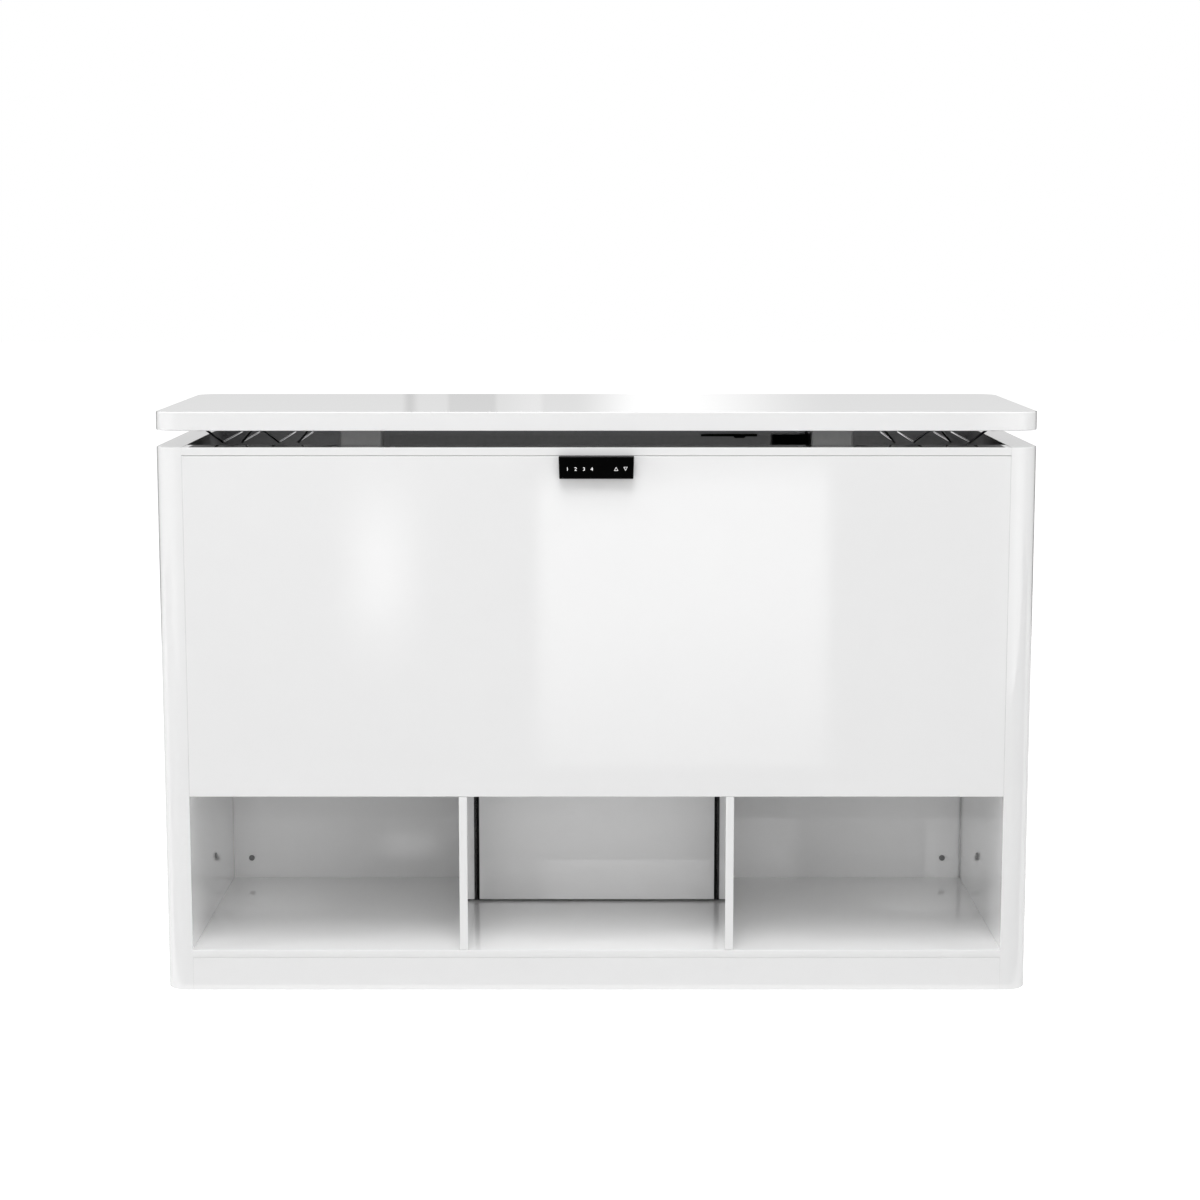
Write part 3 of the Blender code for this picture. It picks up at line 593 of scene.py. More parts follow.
def zinc_finish(finishes):
    """Zinc plate: crystals of slightly different tone over the drift."""
    name = "zinc_plated_steel"
    if name in bpy.data.materials:
        return bpy.data.materials[name]
    material = new_finish(
        name, finishes.zinc, 0.36, (0.06, 0.06), 30.0, (900.0, 250.0, 0.5, 0.00001), metallic=1.0,
    )
    tree = material.node_tree
    where = tree.nodes.new("ShaderNodeTexCoord")
    crystals = add_node(tree, "ShaderNodeTexVoronoi", Scale=160.0)
    tree.links.new(where.outputs["Object"], crystals.inputs["Vector"])
    tint(material, crystals.outputs["Color"], 0.88, 1.1)
    return material


def shaded_cleat_finish(finishes):
    """Softwood coloured near-black as painted shade in the gaps round the hatch, with darker growth lines
    along the cleat's height.
    """
    name = "black_stained_softwood"
    if name in bpy.data.materials:
        return bpy.data.materials[name]
    material = new_finish(name, finishes.wood, 0.6, (0.08, 0.06), 25.0, (800.0, 200.0, 0.5, 0.00004))
    tree = material.node_tree
    where = tree.nodes.new("ShaderNodeTexCoord")
    along = add_node(tree, "ShaderNodeMapping", Scale=(60.0, 60.0, 4.0))
    tree.links.new(where.outputs["Object"], along.inputs["Vector"])
    rings = add_node(tree, "ShaderNodeTexWave", Scale=2.0, Distortion=5.0, Detail=3.0)
    tree.links.new(along.outputs["Vector"], rings.inputs["Vector"])
    tint(material, rings.outputs["Fac"], 0.72, 1.05)
    return material


def mix_sockets(node, kind):
    """The factor, the two inputs and the result of a Mix node of that kind."""
    sockets = {socket.identifier: socket for socket in (*node.inputs, *node.outputs)}
    ending = "Color" if kind == "RGBA" else "Float"
    names = ("Factor_Float", f"A_{ending}", f"B_{ending}", f"Result_{ending}")
    return [sockets[name] for name in names]


def lining_and_painted_shade_finish(finishes, name, dark_sides, squareness):
    """Lacquer, with charcoal on the faces that point towards the dark sides: on the rails the lining of the
    well, on the slab's underside painted shade.

    The squareness is the cosine of the widest angle at which a face still counts as dark.
    """
    material = new_finish(name, finishes.lacquer, *LACQUER_SURFACE)
    tree = material.node_tree
    shader = shader_of(material)
    where = tree.nodes.new("ShaderNodeTexCoord")
    masks = []
    for direction in dark_sides:
        facing = add_node(tree, "ShaderNodeVectorMath", {"operation": "DOT_PRODUCT"})
        tree.links.new(where.outputs["Normal"], facing.inputs[0])
        facing.inputs[1].default_value = direction
        masks.append(maths(tree, "GREATER_THAN", facing.outputs["Value"], squareness))
    dark_side = masks[0]
    for mask in masks[1:]:
        dark_side = maths(tree, "MAXIMUM", dark_side, mask)
    tree.links.new(maths(tree, "SUBTRACT", 1.0, dark_side), shader.inputs["Coat Weight"])
    roughness, drift, patches, _ = CHARCOAL_SURFACE
    dark = place_group(
        tree, "tone_drift", Colour=opaque(finishes.charcoal), Drift=drift[0], Patches=patches,
        Roughness=roughness, Roughness_Drift=drift[1],
    )
    for socket, output, kind in (("Base Color", "Colour", "RGBA"), ("Roughness", "Roughness", "FLOAT")):
        blend = add_node(tree, "ShaderNodeMix", {"data_type": kind})
        light = shader.inputs[socket].links[0].from_socket
        factor, first, second, result = mix_sockets(blend, kind)
        tree.links.new(dark_side, factor)
        tree.links.new(light, first)
        tree.links.new(dark.outputs[output], second)
        tree.links.new(result, shader.inputs[socket])
    return material


# Pieces


def dress(node, material):
    """Gives a CAD node its finish."""
    for slot in frame["nodes"][node].material_slots:
        slot.material = material


def dress_pairs(names, material):
    """Gives the left and right CAD nodes of these names their finish."""
    for name in names:
        for label, _ in SIDES:
            dress(f"{label}_{name}", material)


def new_piece(name, data, material, body, place=(0, 0, 0), turn=None):
    """Puts a new piece in its place on a body."""
    piece = bpy.data.objects.new(name, data)
    bpy.context.scene.collection.objects.link(piece)
    data.materials.append(material)
    piece.location = place
    if turn:
        piece.rotation_euler = turn
    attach(piece, body)
    return piece


def smooth_mesh(bm, name, sharp=SHARP_TURN):
    """A smooth mesh with sharp edges where its faces turn by more than the given degrees."""
    mesh = bpy.data.meshes.new(name)
    bm.normal_update()
    bm.to_mesh(mesh)
    bm.free()
    mesh.shade_smooth()
    mesh.set_sharp_from_angle(angle=math.radians(sharp))
    return mesh


def rounded_block(size, radius, corners, steps):
    """A box round its own middle, with the named upright corners (side of X, side of Y) rounded."""
    bm = bmesh.new()
    bmesh.ops.create_cube(bm, size=1.0)
    bmesh.ops.scale(bm, vec=size, verts=bm.verts)
    picked = []
    for edge in bm.edges:
        first, second = (vert.co for vert in edge.verts)
        corner = (math.copysign(1, first.x), math.copysign(1, first.y))
        if abs(first.z - second.z) > size[2] / 2 and corner in corners:
            picked.append(edge)
    bmesh.ops.bevel(bm, geom=picked, offset=radius, segments=steps, affect="EDGES", profile=0.5)
    return bm


def ease_edges(piece, width, steps):
    """Rounds the sharp edges of a piece and keeps its faces flat to the light."""
    eased = piece.modifiers.new("edges", "BEVEL")
    eased.width = width
    eased.segments = steps
    eased.limit_method = "ANGLE"
    eased.angle_limit = math.radians(EASED_TURN)
    eased.harden_normals = True


def lacquered_block(node, name, body, corners, edge, edge_steps, material, sizes, reach=0.0):
    """A finely rounded lacquered block for a CAD node, longer along X by its reach, to either side."""
    low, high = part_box(node)
    low = low + Vector((min(reach, 0), 0, 0))
    high = high + Vector((max(reach, 0), 0, 0))
    bm = rounded_block(high - low, sizes.corner_radius, corners, sizes.corner_steps)
    mesh = smooth_mesh(bm, name)
    piece = new_piece(name, mesh, material, body, (low + high) / 2)
    ease_edges(piece, edge, edge_steps)
    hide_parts(node)
    return piece


def eased_board(node, name, body, edge, material):
    """A lacquered board for a CAD node: square where it meets its neighbours, eased along its front."""
    low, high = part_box(node)
    bm = bmesh.new()
    bmesh.ops.create_cube(bm, size=1.0)
    bmesh.ops.scale(bm, vec=high - low, verts=bm.verts)
    front = []
    for rim in bm.edges:
        middle = (rim.verts[0].co + rim.verts[1].co) / 2
        if middle.y < 0 and middle.x == 0:
            front.append(rim)
    bmesh.ops.bevel(bm, geom=front, offset=edge, segments=EDGE_STEPS, affect="EDGES", profile=0.5)
    mesh = smooth_mesh(bm, name, FLAT_TURN)
    piece = new_piece(name, mesh, material, body, (low + high) / 2)
    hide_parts(node)
    return piece


def bent_path(corners):
    """Points along straight runs with arcs at the corners, given as (point, radius); 0 keeps a point."""
    points = []
    for i, (corner, radius) in enumerate(corners):
        if radius == 0:
            points.append(corner)
            continue
        before = corners[i - 1][0]
        after = corners[(i + 1) % len(corners)][0]
        back = (before - corner).normalized()
        ahead = (after - corner).normalized()
        turn = math.pi - back.angle(ahead)
        trim = radius * math.tan(turn / 2)
        middle = corner + (back + ahead).normalized() * (radius / math.cos(turn / 2))
        start = corner + back * trim - middle
        end = corner + ahead * trim - middle
        for step in range(BEND_STEPS + 1):
            part = step / BEND_STEPS
            arm = (math.sin((1 - part) * turn) * start + math.sin(part * turn) * end) / math.sin(turn)
            points.append(middle + arm)
    return points


def finger_run(side, high):
    """Corners of one wire of a finger from its front eye to its rear one: down, straight along, up."""
    end = FINGER_RUN + FLARE_RUN
    corners = (
        (side * EYE_RADIUS, -end, high),
        (side * FINGER_HALF, -FINGER_RUN, -RACK_DROP),
        (side * FINGER_HALF, FINGER_RUN, -RACK_DROP),
        (side * EYE_RADIUS, end, high),
    )
    return [(Vector(corner), WIRE_BEND) for corner in corners]


def finger_eye(side, rear, high):
    """The half turn round a fixing screw at one end of a finger, starting on one side of the screw."""
    middle_y = rear * (FINGER_RUN + FLARE_RUN + EYE_TAIL)
    points = []
    for step in range(EYE_STEPS + 1):
        turn = math.pi * step / EYE_STEPS
        x = side * EYE_RADIUS * math.cos(turn)
        y = middle_y + rear * EYE_RADIUS * math.sin(turn)
        points.append((Vector((x, y, high)), 0))
    return points


def wire_curve(name, points, radius, closed):
    """A round wire along the points."""
    curve = bpy.data.curves.new(name, "CURVE")
    curve.dimensions = "3D"
    curve.bevel_depth = radius
    curve.bevel_resolution = WIRE_RING
    curve.use_fill_caps = True
    spline = curve.splines.new("POLY")
    spline.points.add(len(points) - 1)
    for point, co in zip(spline.points, points):
        point.co = (*co, 1.0)
    spline.use_cyclic_u = closed
    spline.use_smooth = True
    return curve


def add_head(bm, matrix, radius, height, drive, steps=HEAD_STEPS):
    """A domed screw head with a six-sided drive recess, standing on the XY plane before it is placed."""
    def ring(z, reach, six_sided=False):
        verts = []
        for step in range(steps):
            turn = 2 * math.pi * step / steps
            far = reach
            if six_sided:
                far *= math.cos(math.pi / 6) / math.cos((turn % (math.pi / 3)) - math.pi / 6)
            verts.append(bm.verts.new(matrix @ Vector((far * math.cos(turn), far * math.sin(turn), z))))
        return verts

    rings = [ring(height * up, radius * out) for up, out in HEAD_DOME]
    rings.append(ring(height, drive * DRIVE_RIM))
    rings.append(ring(height * DRIVE_LIP, drive, True))
    rings.append(ring(height * DRIVE_FLOOR, drive, True))
    for lower, upper in zip(rings, rings[1:]):
        for i in range(steps):
            j = (i + 1) % steps
            bm.faces.new((lower[i], lower[j], upper[j], upper[i]))
    bm.faces.new(rings[-1])
    bm.faces.new(rings[0][::-1])


def standing_on(place, axis):
    """The matrix that takes a body built upwards from the origin to its place, along an axis."""
    turn = Vector(UP).rotation_difference(Vector(axis)).to_matrix().to_4x4()
    return Matrix.Translation(place) @ turn


def head_group(name, places, axis, radius, head, material, body):
    """One mesh of equal screw heads, of a height and drive, on their places and along one axis."""
    bm = bmesh.new()
    for place in places:
        add_head(bm, standing_on(place, axis), radius, *head)
    return new_piece(name, smooth_mesh(bm, name), material, body)


def add_turned(bm, matrix, profile, steps=COVER_STEPS):
    """A closed body of revolution from a profile of (radius, height) that starts and ends on the axis."""
    rings = []
    for radius, height in profile:
        if radius == 0:
            rings.append([bm.verts.new(matrix @ Vector((0, 0, height)))])
            continue
        turns = (2 * math.pi * step / steps for step in range(steps))
        rings.append([
            bm.verts.new(matrix @ Vector((radius * math.cos(turn), radius * math.sin(turn), height)))
            for turn in turns
        ])
    for lower, upper in zip(rings, rings[1:]):
        for i in range(steps):
            j = (i + 1) % steps
            if len(lower) == 1:
                bm.faces.new((lower[0], upper[j], upper[i]))
            elif len(upper) == 1:
                bm.faces.new((lower[i], lower[j], upper[0]))
            else:
                bm.faces.new((lower[i], lower[j], upper[j], upper[i]))


# Stage


def plane_mesh(name, width, height):
    """A flat rectangle round its own middle."""
    bm = bmesh.new()
    bmesh.ops.create_grid(bm, x_segments=1, y_segments=1, size=0.5)
    bmesh.ops.scale(bm, vec=(width, height, 1), verts=bm.verts)
    mesh = bpy.data.meshes.new(name)
    bm.to_mesh(mesh)
    bm.free()
    return mesh


def stage_plane(name, width, height, place, turn, material):
    """A rectangle of the stage, turned by degrees about X, Y and Z."""
    plane = bpy.data.objects.new(name, plane_mesh(name, width, height))
    bpy.context.scene.collection.objects.link(plane)
    plane.location = place
    plane.rotation_euler = [math.radians(angle) for angle in turn]
    plane.data.materials.append(material)
    return plane


def floor_finish(colour):
    """A plain floor that the camera sees a little brighter than the lamps make it, shadow and all."""
    material = bpy.data.materials.new("studio_floor")
    material.use_nodes = True
    tree = material.node_tree
    tree.nodes.clear()
    output = tree.nodes.new("ShaderNodeOutputMaterial")
    paint = add_node(tree, "ShaderNodeBsdfDiffuse", Color=opaque(colour))
    path = tree.nodes.new("ShaderNodeLightPath")
    lift = maths(tree, "MULTIPLY", path.outputs["Is Camera Ray"], FLOOR_LIFT)
    mirror = maths(tree, "MAXIMUM", path.outputs["Is Glossy Ray"], path.outputs["Is Transmission Ray"])
    mirror = maths(tree, "MULTIPLY", mirror, FLOOR_MIRROR_LIFT)
    glow = add_node(tree, "ShaderNodeEmission")
    tree.links.new(maths(tree, "ADD", lift, mirror), glow.inputs["Strength"])
    both = tree.nodes.new("ShaderNodeAddShader")
    tree.links.new(paint.outputs["BSDF"], both.inputs[0])
    tree.links.new(glow.outputs["Emission"], both.inputs[1])
    tree.links.new(both.outputs["Shader"], output.inputs["Surface"])
    return material


def card_finish(name, level, size, fade=None):
    """Light of a studio card; a fade gives the soft width along its left, right, lower and upper edge."""
    material = bpy.data.materials.new(name)
    material.use_nodes = True
    tree = material.node_tree
    tree.nodes.clear()
    output = tree.nodes.new("ShaderNodeOutputMaterial")
    glow = add_node(tree, "ShaderNodeEmission", Strength=level)
    if not fade:
        tree.links.new(glow.outputs["Emission"], output.inputs["Surface"])
        return material
    where = tree.nodes.new("ShaderNodeTexCoord")
    apart = tree.nodes.new("ShaderNodeSeparateXYZ")
    tree.links.new(where.outputs["Object"], apart.inputs["Vector"])
    share = 1.0
    edges = (("X", -1), ("X", 1), ("Y", -1), ("Y", 1))
    for (axis, side), soft in zip(edges, fade):
        half = size["XY".index(axis)] / 2
        edge = add_node(
            tree, "ShaderNodeMapRange", {"interpolation_type": "SMOOTHSTEP"},
            From_Min=side * half, From_Max=side * (half - soft), To_Min=0.0, To_Max=1.0,
        )
        tree.links.new(apart.outputs[axis], edge.inputs["Value"])
        share = maths(tree, "MULTIPLY", edge.outputs["Result"], share)
    clear = tree.nodes.new("ShaderNodeBsdfTransparent")
    mix = tree.nodes.new("ShaderNodeMixShader")
    tree.links.new(share, mix.inputs["Fac"])
    tree.links.new(clear.outputs["BSDF"], mix.inputs[1])
    tree.links.new(glow.outputs["Emission"], mix.inputs[2])
    tree.links.new(mix.outputs["Shader"], output.inputs["Surface"])
    return material


def reflected_card(name, width, height, place, turn, level, fade=None):
    """A card that shows only in reflections, so that it neither lights nor shades the cabinet."""
    card = stage_plane(name, width, height, place, turn, card_finish(name, level, (width, height), fade))
    card.visible_camera = False
    card.visible_diffuse = False
    card.visible_shadow = False
    return card


def light_only(lamp, nodes):
    """Lets a lamp light only these nodes, so that those beside them stay dark."""
    lit = bpy.data.collections.new(f"{lamp.name}_nodes")
    for node in nodes:
        lit.objects.link(frame["nodes"][node])
    lamp.light_linking.receiver_collection = lit


def area_lamp(name, place, aim, size, power, spread, lit):
    """A soft lamp out of sight, which lights everything or only the named nodes."""
    lamp = bpy.data.lights.new(name, "AREA")
    lamp.shape = "RECTANGLE"
    lamp.size, lamp.size_y = size
    lamp.energy = power
    lamp.spread = math.radians(spread)
    stand = bpy.data.objects.new(name, lamp)
    bpy.context.scene.collection.objects.link(stand)
    stand.location = place
    stand.rotation_euler = (Vector(aim) - Vector(place)).to_track_quat("-Z", "Y").to_euler()
    stand.visible_camera = False
    stand.visible_glossy = False
    if lit:
        light_only(stand, lit)


def make_world(level):
    """Even light all round, and white for the camera and for reflections."""
    world = bpy.data.worlds.new("studio_sky")
    bpy.context.scene.world = world
    world.use_nodes = True
    tree = world.node_tree
    tree.nodes.clear()
    output = tree.nodes.new("ShaderNodeOutputWorld")
    even = add_node(tree, "ShaderNodeBackground", Color=(1, 1, 1, 1), Strength=level)
    white = add_node(tree, "ShaderNodeBackground", Color=(1, 1, 1, 1), Strength=1.0)
    path = tree.nodes.new("ShaderNodeLightPath")
    seen = maths(tree, "MAXIMUM", path.outputs["Is Camera Ray"], path.outputs["Is Glossy Ray"])
    seen = maths(tree, "MAXIMUM", seen, path.outputs["Is Transmission Ray"])
    mix = tree.nodes.new("ShaderNodeMixShader")
    tree.links.new(seen, mix.inputs["Fac"])
    tree.links.new(even.outputs["Background"], mix.inputs[1])
    tree.links.new(white.outputs["Background"], mix.inputs[2])
    tree.links.new(mix.outputs["Shader"], output.inputs["Surface"])


def make_camera():
    """The camera of the photograph."""
    lens = bpy.data.cameras.new("photo_camera")
    lens.sensor_width = CAMERA_SENSOR
    lens.lens = CAMERA_LENS
    lens.shift_x = CAMERA_SHIFT
    lens.clip_end = CAMERA_REACH
    camera = bpy.data.objects.new("photo_camera", lens)
    bpy.context.scene.collection.objects.link(camera)
    camera.location = CAMERA_PLACE
    camera.rotation_euler = (math.radians(CAMERA_TILT), 0, 0)
    bpy.context.scene.camera = camera


# Operators


class CABINET_OT_stage(bpy.types.Operator):
    """Sets the camera, the floor, the cards and the lamps"""

    bl_idname = "cabinet.stage"
    bl_label = "Set the Stage"

    def execute(self, context):
        stage = context.scene.cabinet_stage
        context.scene.view_settings.view_transform = "Standard"
        make_camera()
        make_world(stage.sky)
        floor = floor_finish(stage.floor)
        stage_plane("studio_floor", FLOOR_SIZE, FLOOR_SIZE, (0, 0, 0), LEVEL, floor)
        for turn, cards in ((UPRIGHT, UPRIGHT_CARDS), (LEVEL, LEVEL_CARDS)):
            for name, (width, height), place, level, fade in cards:
                reflected_card(name, width, height, place, turn, level, fade)
        for name, power, place, aim, size, lit in LAMPS:
            area_lamp(name, place, aim, size, getattr(stage, power), FULL_SPREAD, lit)
        for name, power, place, aim, size, spread, lit in PAIRED_LAMPS:
            for label, side in SIDES:
                mirror = Vector((side, 1, 1))
                area_lamp(
                    f"{label}_{name}", Vector(place) * mirror, Vector(aim) * mirror, size,
                    getattr(stage, power), spread, lit,
                )
        return {"FINISHED"}


class CABINET_OT_carcass(bpy.types.Operator):
    """Lacquers the boards, fits the rounded side panels and darkens the rails towards the well"""

    bl_idname = "cabinet.carcass"
    bl_label = "Finish the Carcass"

    def execute(self, context):
        scene = context.scene
        finishes = scene.cabinet_finishes
        for node in LACQUERED:
            dress(node, lacquer_finish(finishes))
        for label, side in SIDES:
            lacquered_block(
                f"{label}_side_panel", f"{label}_rounded_side", FIXED, ((side, -1), (side, 1)),
                scene.cabinet_sizes.board_edge, EDGE_STEPS, lacquer_finish(finishes), scene.cabinet_sizes,
                -side * SEAM_COVER,
            )
        eased_board(
            "bottom_board", "bay_floor_board", FIXED, scene.cabinet_sizes.board_edge,
            lacquer_finish(finishes),
        )
        for node, inner in RAILS:
            dress(node, lining_and_painted_shade_finish(finishes, f"{node}_two_tone", (inner, DOWN), RAIL_SQUARENESS))
        # The cleats are near-black as painted shade seen through the gaps round the hatch
        dress_pairs(("hatch_cleat",), shaded_cleat_finish(finishes))
        return {"FINISHED"}


class CABINET_OT_well(bpy.types.Operator):
    """Gives the lining of the well its charcoal laminate"""

    bl_idname = "cabinet.well"
    bl_label = "Line the Well"

    def execute(self, context):
        for node in LINED:
            dress(node, charcoal_finish(context.scene.cabinet_finishes))
        return {"FINISHED"}


class CABINET_OT_slab(bpy.types.Operator):
    """Fits the top slab with its rounded corners and edges, with painted charcoal shade on its underside"""

    bl_idname = "cabinet.slab"
    bl_label = "Fit the Slab"

    def execute(self, context):
        scene = context.scene
        corners = ((-1, -1), (-1, 1), (1, -1), (1, 1))
        # The charcoal on the slab's underside is painted shade over white lacquer
        finish = lining_and_painted_shade_finish(scene.cabinet_finishes, "slab_two_tone", (DOWN,), SLAB_SHADE_SQUARENESS)
        lacquered_block(
            "top_slab", "rounded_top_slab", LIFTED, corners, scene.cabinet_sizes.slab_edge, SLAB_EDGE_STEPS,
            finish, scene.cabinet_sizes,
        )
        return {"FINISHED"}


class CABINET_OT_columns(bpy.types.Operator):
    """Paints the columns and plates, and bolts them to the well floor and the slab"""

    bl_idname = "cabinet.columns"
    bl_label = "Finish the Columns"

    def execute(self, context):
        scene = context.scene
        finishes, sizes = scene.cabinet_finishes, scene.cabinet_sizes
        dress_pairs(PAINTED_TUBES, column_finish(finishes))
        dress_pairs(GLIDES, glide_finish(finishes))
        dress_pairs(PLATED, zinc_finish(finishes))
        for name, plate, body, axis in (
            ("base_bolts", "column_base", FIXED, UP),
            ("plate_screws", "column_top_plate", LIFTED, DOWN),
        ):
            places = []
            for label, _ in SIDES:
                low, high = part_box(f"{label}_{plate}")
                face = high.z if axis == UP else low.z
                for x in (low.x + BOLT_INSET, high.x - BOLT_INSET):
                    for y in (low.y + BOLT_INSET, high.y - BOLT_INSET):
                        places.append((x, y, face))
            head_group(
                name, places, axis, sizes.bolt_radius, BOLT_HEAD, zinc_finish(finishes), body,
            )
        return {"FINISHED"}


class CABINET_OT_racks(bpy.types.Operator):
    """Bends the chrome wires of the racks and screws their eyes to the slab"""

    bl_idname = "cabinet.racks"
    bl_label = "Hang the Racks"

    def execute(self, context):
        scene = context.scene
        finishes, sizes = scene.cabinet_finishes, scene.cabinet_sizes
        low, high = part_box("top_slab")
        middle_y = (low.y + high.y) / 2
        wire_z = -(WIRE_SEAT + sizes.wire_radius)
        screw_z = low.z - WIRE_SEAT - 2 * sizes.wire_radius
        screws = []
        for label, side in SIDES:
            whole = (
                finger_run(1, wire_z) + finger_eye(1, 1, wire_z)
                + finger_run(-1, wire_z)[::-1] + finger_eye(-1, -1, wire_z)
            )
            fingers = [("middle", 0, whole, True)]
            for name, offset in (("outer", side), ("inner", -side)):
                half = (
                    finger_eye(offset, -1, wire_z) + finger_run(-offset, wire_z)
                    + finger_eye(-offset, 1, wire_z)
                )
                fingers.append((name, offset, half, False))
            for name, offset, corners, closed in fingers:
                x = side * RACK_MIDDLE + offset * SLOT_PITCH
                piece_name = f"{label}_{name}_rack_wire"
                curve = wire_curve(piece_name, bent_path(corners), sizes.wire_radius, closed)
                wire = new_piece(
                    piece_name, curve, chrome_finish(finishes), LIFTED, (x, middle_y, low.z),
                )
                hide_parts(f"{label}_rack_{name}_finger")
                reach = FINGER_RUN + FLARE_RUN + EYE_TAIL
                screws += [(x, middle_y - reach, screw_z), (x, middle_y + reach, screw_z)]
        head_group(
            "rack_screws", screws, DOWN, sizes.screw_radius, RACK_SCREW_HEAD,
            zinc_finish(finishes), LIFTED,
        )
        return {"FINISHED"}


class CABINET_OT_keypad(bpy.types.Operator):
    """Prints the digits and arrows on the keypad, with a painted glow on the print"""

    bl_idname = "cabinet.keypad"
    bl_label = "Print the Keypad"

    def execute(self, context):
        finishes, sizes = context.scene.cabinet_finishes, context.scene.cabinet_sizes
        dress("keypad_face", keypad_finish(finishes))
        front_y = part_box("keypad_face")[0].y
        print_y = front_y - PRINT_DEPTH / 2
        upright = [math.radians(angle) for angle in UPRIGHT]
        for digit, x in DIGITS:
            name = f"keypad_digit_{digit}"
            text = bpy.data.curves.new(name, "FONT")
            text.body = digit
            text.size = sizes.print_height / DIGIT_RATIO
            text.align_x = "CENTER"
            text.extrude = PRINT_DEPTH / 2
            foot = PRINT_Z - sizes.print_height / 2
            place = (x, print_y, foot)
            new_piece(name, text, glowing_print_finish(finishes), FIXED, place, upright)
        for label, x, point in ARROWS:
            name = f"keypad_arrow_{label}"
            mesh = smooth_mesh(self.arrow(sizes.print_height, point), name)
            place = (x, print_y, PRINT_Z)
            new_piece(name, mesh, glowing_print_finish(finishes), FIXED, place, upright)
        return {"FINISHED"}

    @staticmethod
    def arrow(height, point):
        """A hollow triangle that points up (1) or down (-1)."""
        half = height * ARROW_WIDTH / 2
        tip = Vector((0, point * height / 2, 0))
        left, right = (Vector((side * half, -point * height / 2, 0)) for side in (-1, 1))
        outer = [tip, left, right]
        middle = sum(outer, Vector()) / 3
        inner = [middle + (corner - middle) * (1 - 3 * ARROW_STROKE) for corner in outer]
        bm = bmesh.new()
        rings = [[bm.verts.new(corner) for corner in ring] for ring in (outer, inner)]
        for i in range(3):
            j = (i + 1) % 3
            bm.faces.new((rings[0][i], rings[0][j], rings[1][j], rings[1][i]))
        faces = list(bm.faces)
        grown = bmesh.ops.extrude_face_region(bm, geom=faces)["geom"]
        lifted = [item for item in grown if isinstance(item, bmesh.types.BMVert)]
        bmesh.ops.translate(bm, vec=(0, 0, PRINT_DEPTH), verts=lifted)
        bmesh.ops.translate(bm, vec=(0, 0, -PRINT_DEPTH / 2), verts=bm.verts)
        bmesh.ops.recalc_face_normals(bm, faces=bm.faces)
        return bm


class CABINET_OT_controls(bpy.types.Operator):
    """Finishes the control box, its bracket, the leads and the supply"""

    bl_idname = "cabinet.controls"
    bl_label = "Finish the Controls"

    def execute(self, context):
        finishes = context.scene.cabinet_finishes
        for node in BLACK_PARTS:
            dress(node, black_finish(finishes))
        dress("control_box_bracket", zinc_finish(finishes))
        return {"FINISHED"}


class CABINET_OT_covers(bpy.types.Operator):
    """Puts the connector covers into the side bays"""

    bl_idname = "cabinet.covers"
    bl_label = "Fit the Connector Covers"

    def execute(self, context):
        finishes, sizes = context.scene.cabinet_finishes, context.scene.cabinet_sizes
        radius, height = sizes.cover_radius, sizes.cover_height
        rim = [(radius * share, height - depth) for share, depth in COVER_RIM]
        profile = [(0, 0), (radius, 0), *rim, (0, rim[-1][1])]
        back_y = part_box("back_panel")[0].y
        inner_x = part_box("right_side_panel")[0].x - SEAM_COVER
        for label, side in SIDES:
            for wall, place, axis in (
                ("back", (side * BACK_COVER_X, back_y, BACK_COVER_Z), TO_FRONT),
                ("side", (side * inner_x, SIDE_COVER_Y, SIDE_COVER_Z), (-side, 0, 0)),
            ):
                bm = bmesh.new()
                add_turned(bm, standing_on(place, axis), profile)
                name = f"{label}_{wall}_connector_cover"
                new_piece(name, smooth_mesh(bm, name), cover_finish(finishes), FIXED)
        return {"FINISHED"}


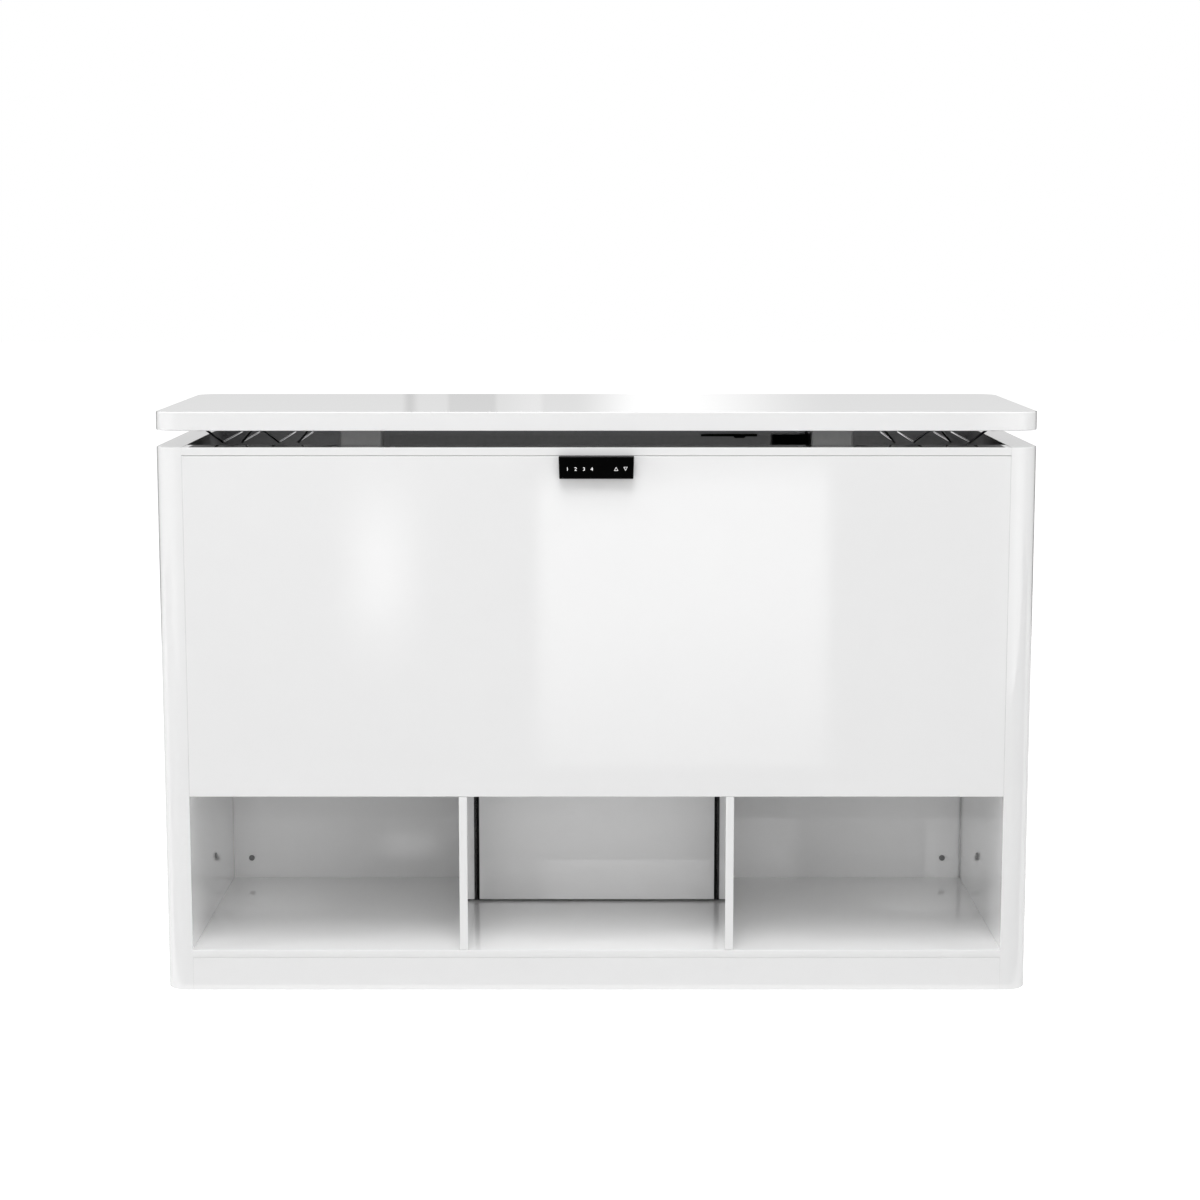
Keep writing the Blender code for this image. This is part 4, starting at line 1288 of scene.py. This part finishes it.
class CABINET_OT_back(bpy.types.Operator):
    """Screws the back panel on"""

    bl_idname = "cabinet.back"
    bl_label = "Screw the Back On"

    def execute(self, context):
        finishes = context.scene.cabinet_finishes
        back_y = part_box("back_panel")[1].y
        places = [(x, back_y, z) for x in PANEL_SCREW_X for z in PANEL_SCREW_Z]
        head_group(
            "back_panel_screws", places, TO_BACK, PANEL_SCREW_RADIUS, PANEL_SCREW_HEAD,
            zinc_finish(finishes), FIXED,
        )
        return {"FINISHED"}


class CABINET_PT_build(bpy.types.Panel):
    """Steps that dress the cabinet, in order, and what can be changed before them"""

    bl_idname = "CABINET_PT_build"
    bl_label = "Lift Bar Cabinet"
    bl_space_type = "VIEW_3D"
    bl_region_type = "UI"
    bl_category = "Bar Cabinet"

    def draw(self, context):
        for step in STEPS:
            self.layout.operator(step.bl_idname)
        for settings in (
            context.scene.cabinet_sizes, context.scene.cabinet_finishes, context.scene.cabinet_stage,
        ):
            column = self.layout.column(align=True)
            for name in settings.__annotations__:
                column.prop(settings, name)


STEPS = (
    CABINET_OT_stage,
    CABINET_OT_carcass,
    CABINET_OT_well,
    CABINET_OT_slab,
    CABINET_OT_columns,
    CABINET_OT_racks,
    CABINET_OT_keypad,
    CABINET_OT_controls,
    CABINET_OT_covers,
    CABINET_OT_back,
)
SETTINGS = (
    ("cabinet_sizes", CABINET_PG_sizes),
    ("cabinet_finishes", CABINET_PG_finishes),
    ("cabinet_stage", CABINET_PG_stage),
)


def register():
    """Adds the settings to the scene, and the operators and panel to Blender."""
    for name, group in SETTINGS:
        bpy.utils.register_class(group)
        setattr(bpy.types.Scene, name, PointerProperty(type=group))
    for step in (*STEPS, CABINET_PT_build):
        bpy.utils.register_class(step)


def unregister():
    """Takes out all that register added."""
    for step in (CABINET_PT_build, *reversed(STEPS)):
        bpy.utils.unregister_class(step)
    for name, group in reversed(SETTINGS):
        delattr(bpy.types.Scene, name)
        bpy.utils.unregister_class(group)


def main():
    """Dresses the cabinet step by step."""
    register()
    for step in STEPS:
        name = step.bl_idname.split(".")[1]
        if getattr(bpy.ops.cabinet, name)() != {"FINISHED"}:
            raise RuntimeError(f"{step.bl_label} did not finish")


if __name__ == "__main__":
    main()
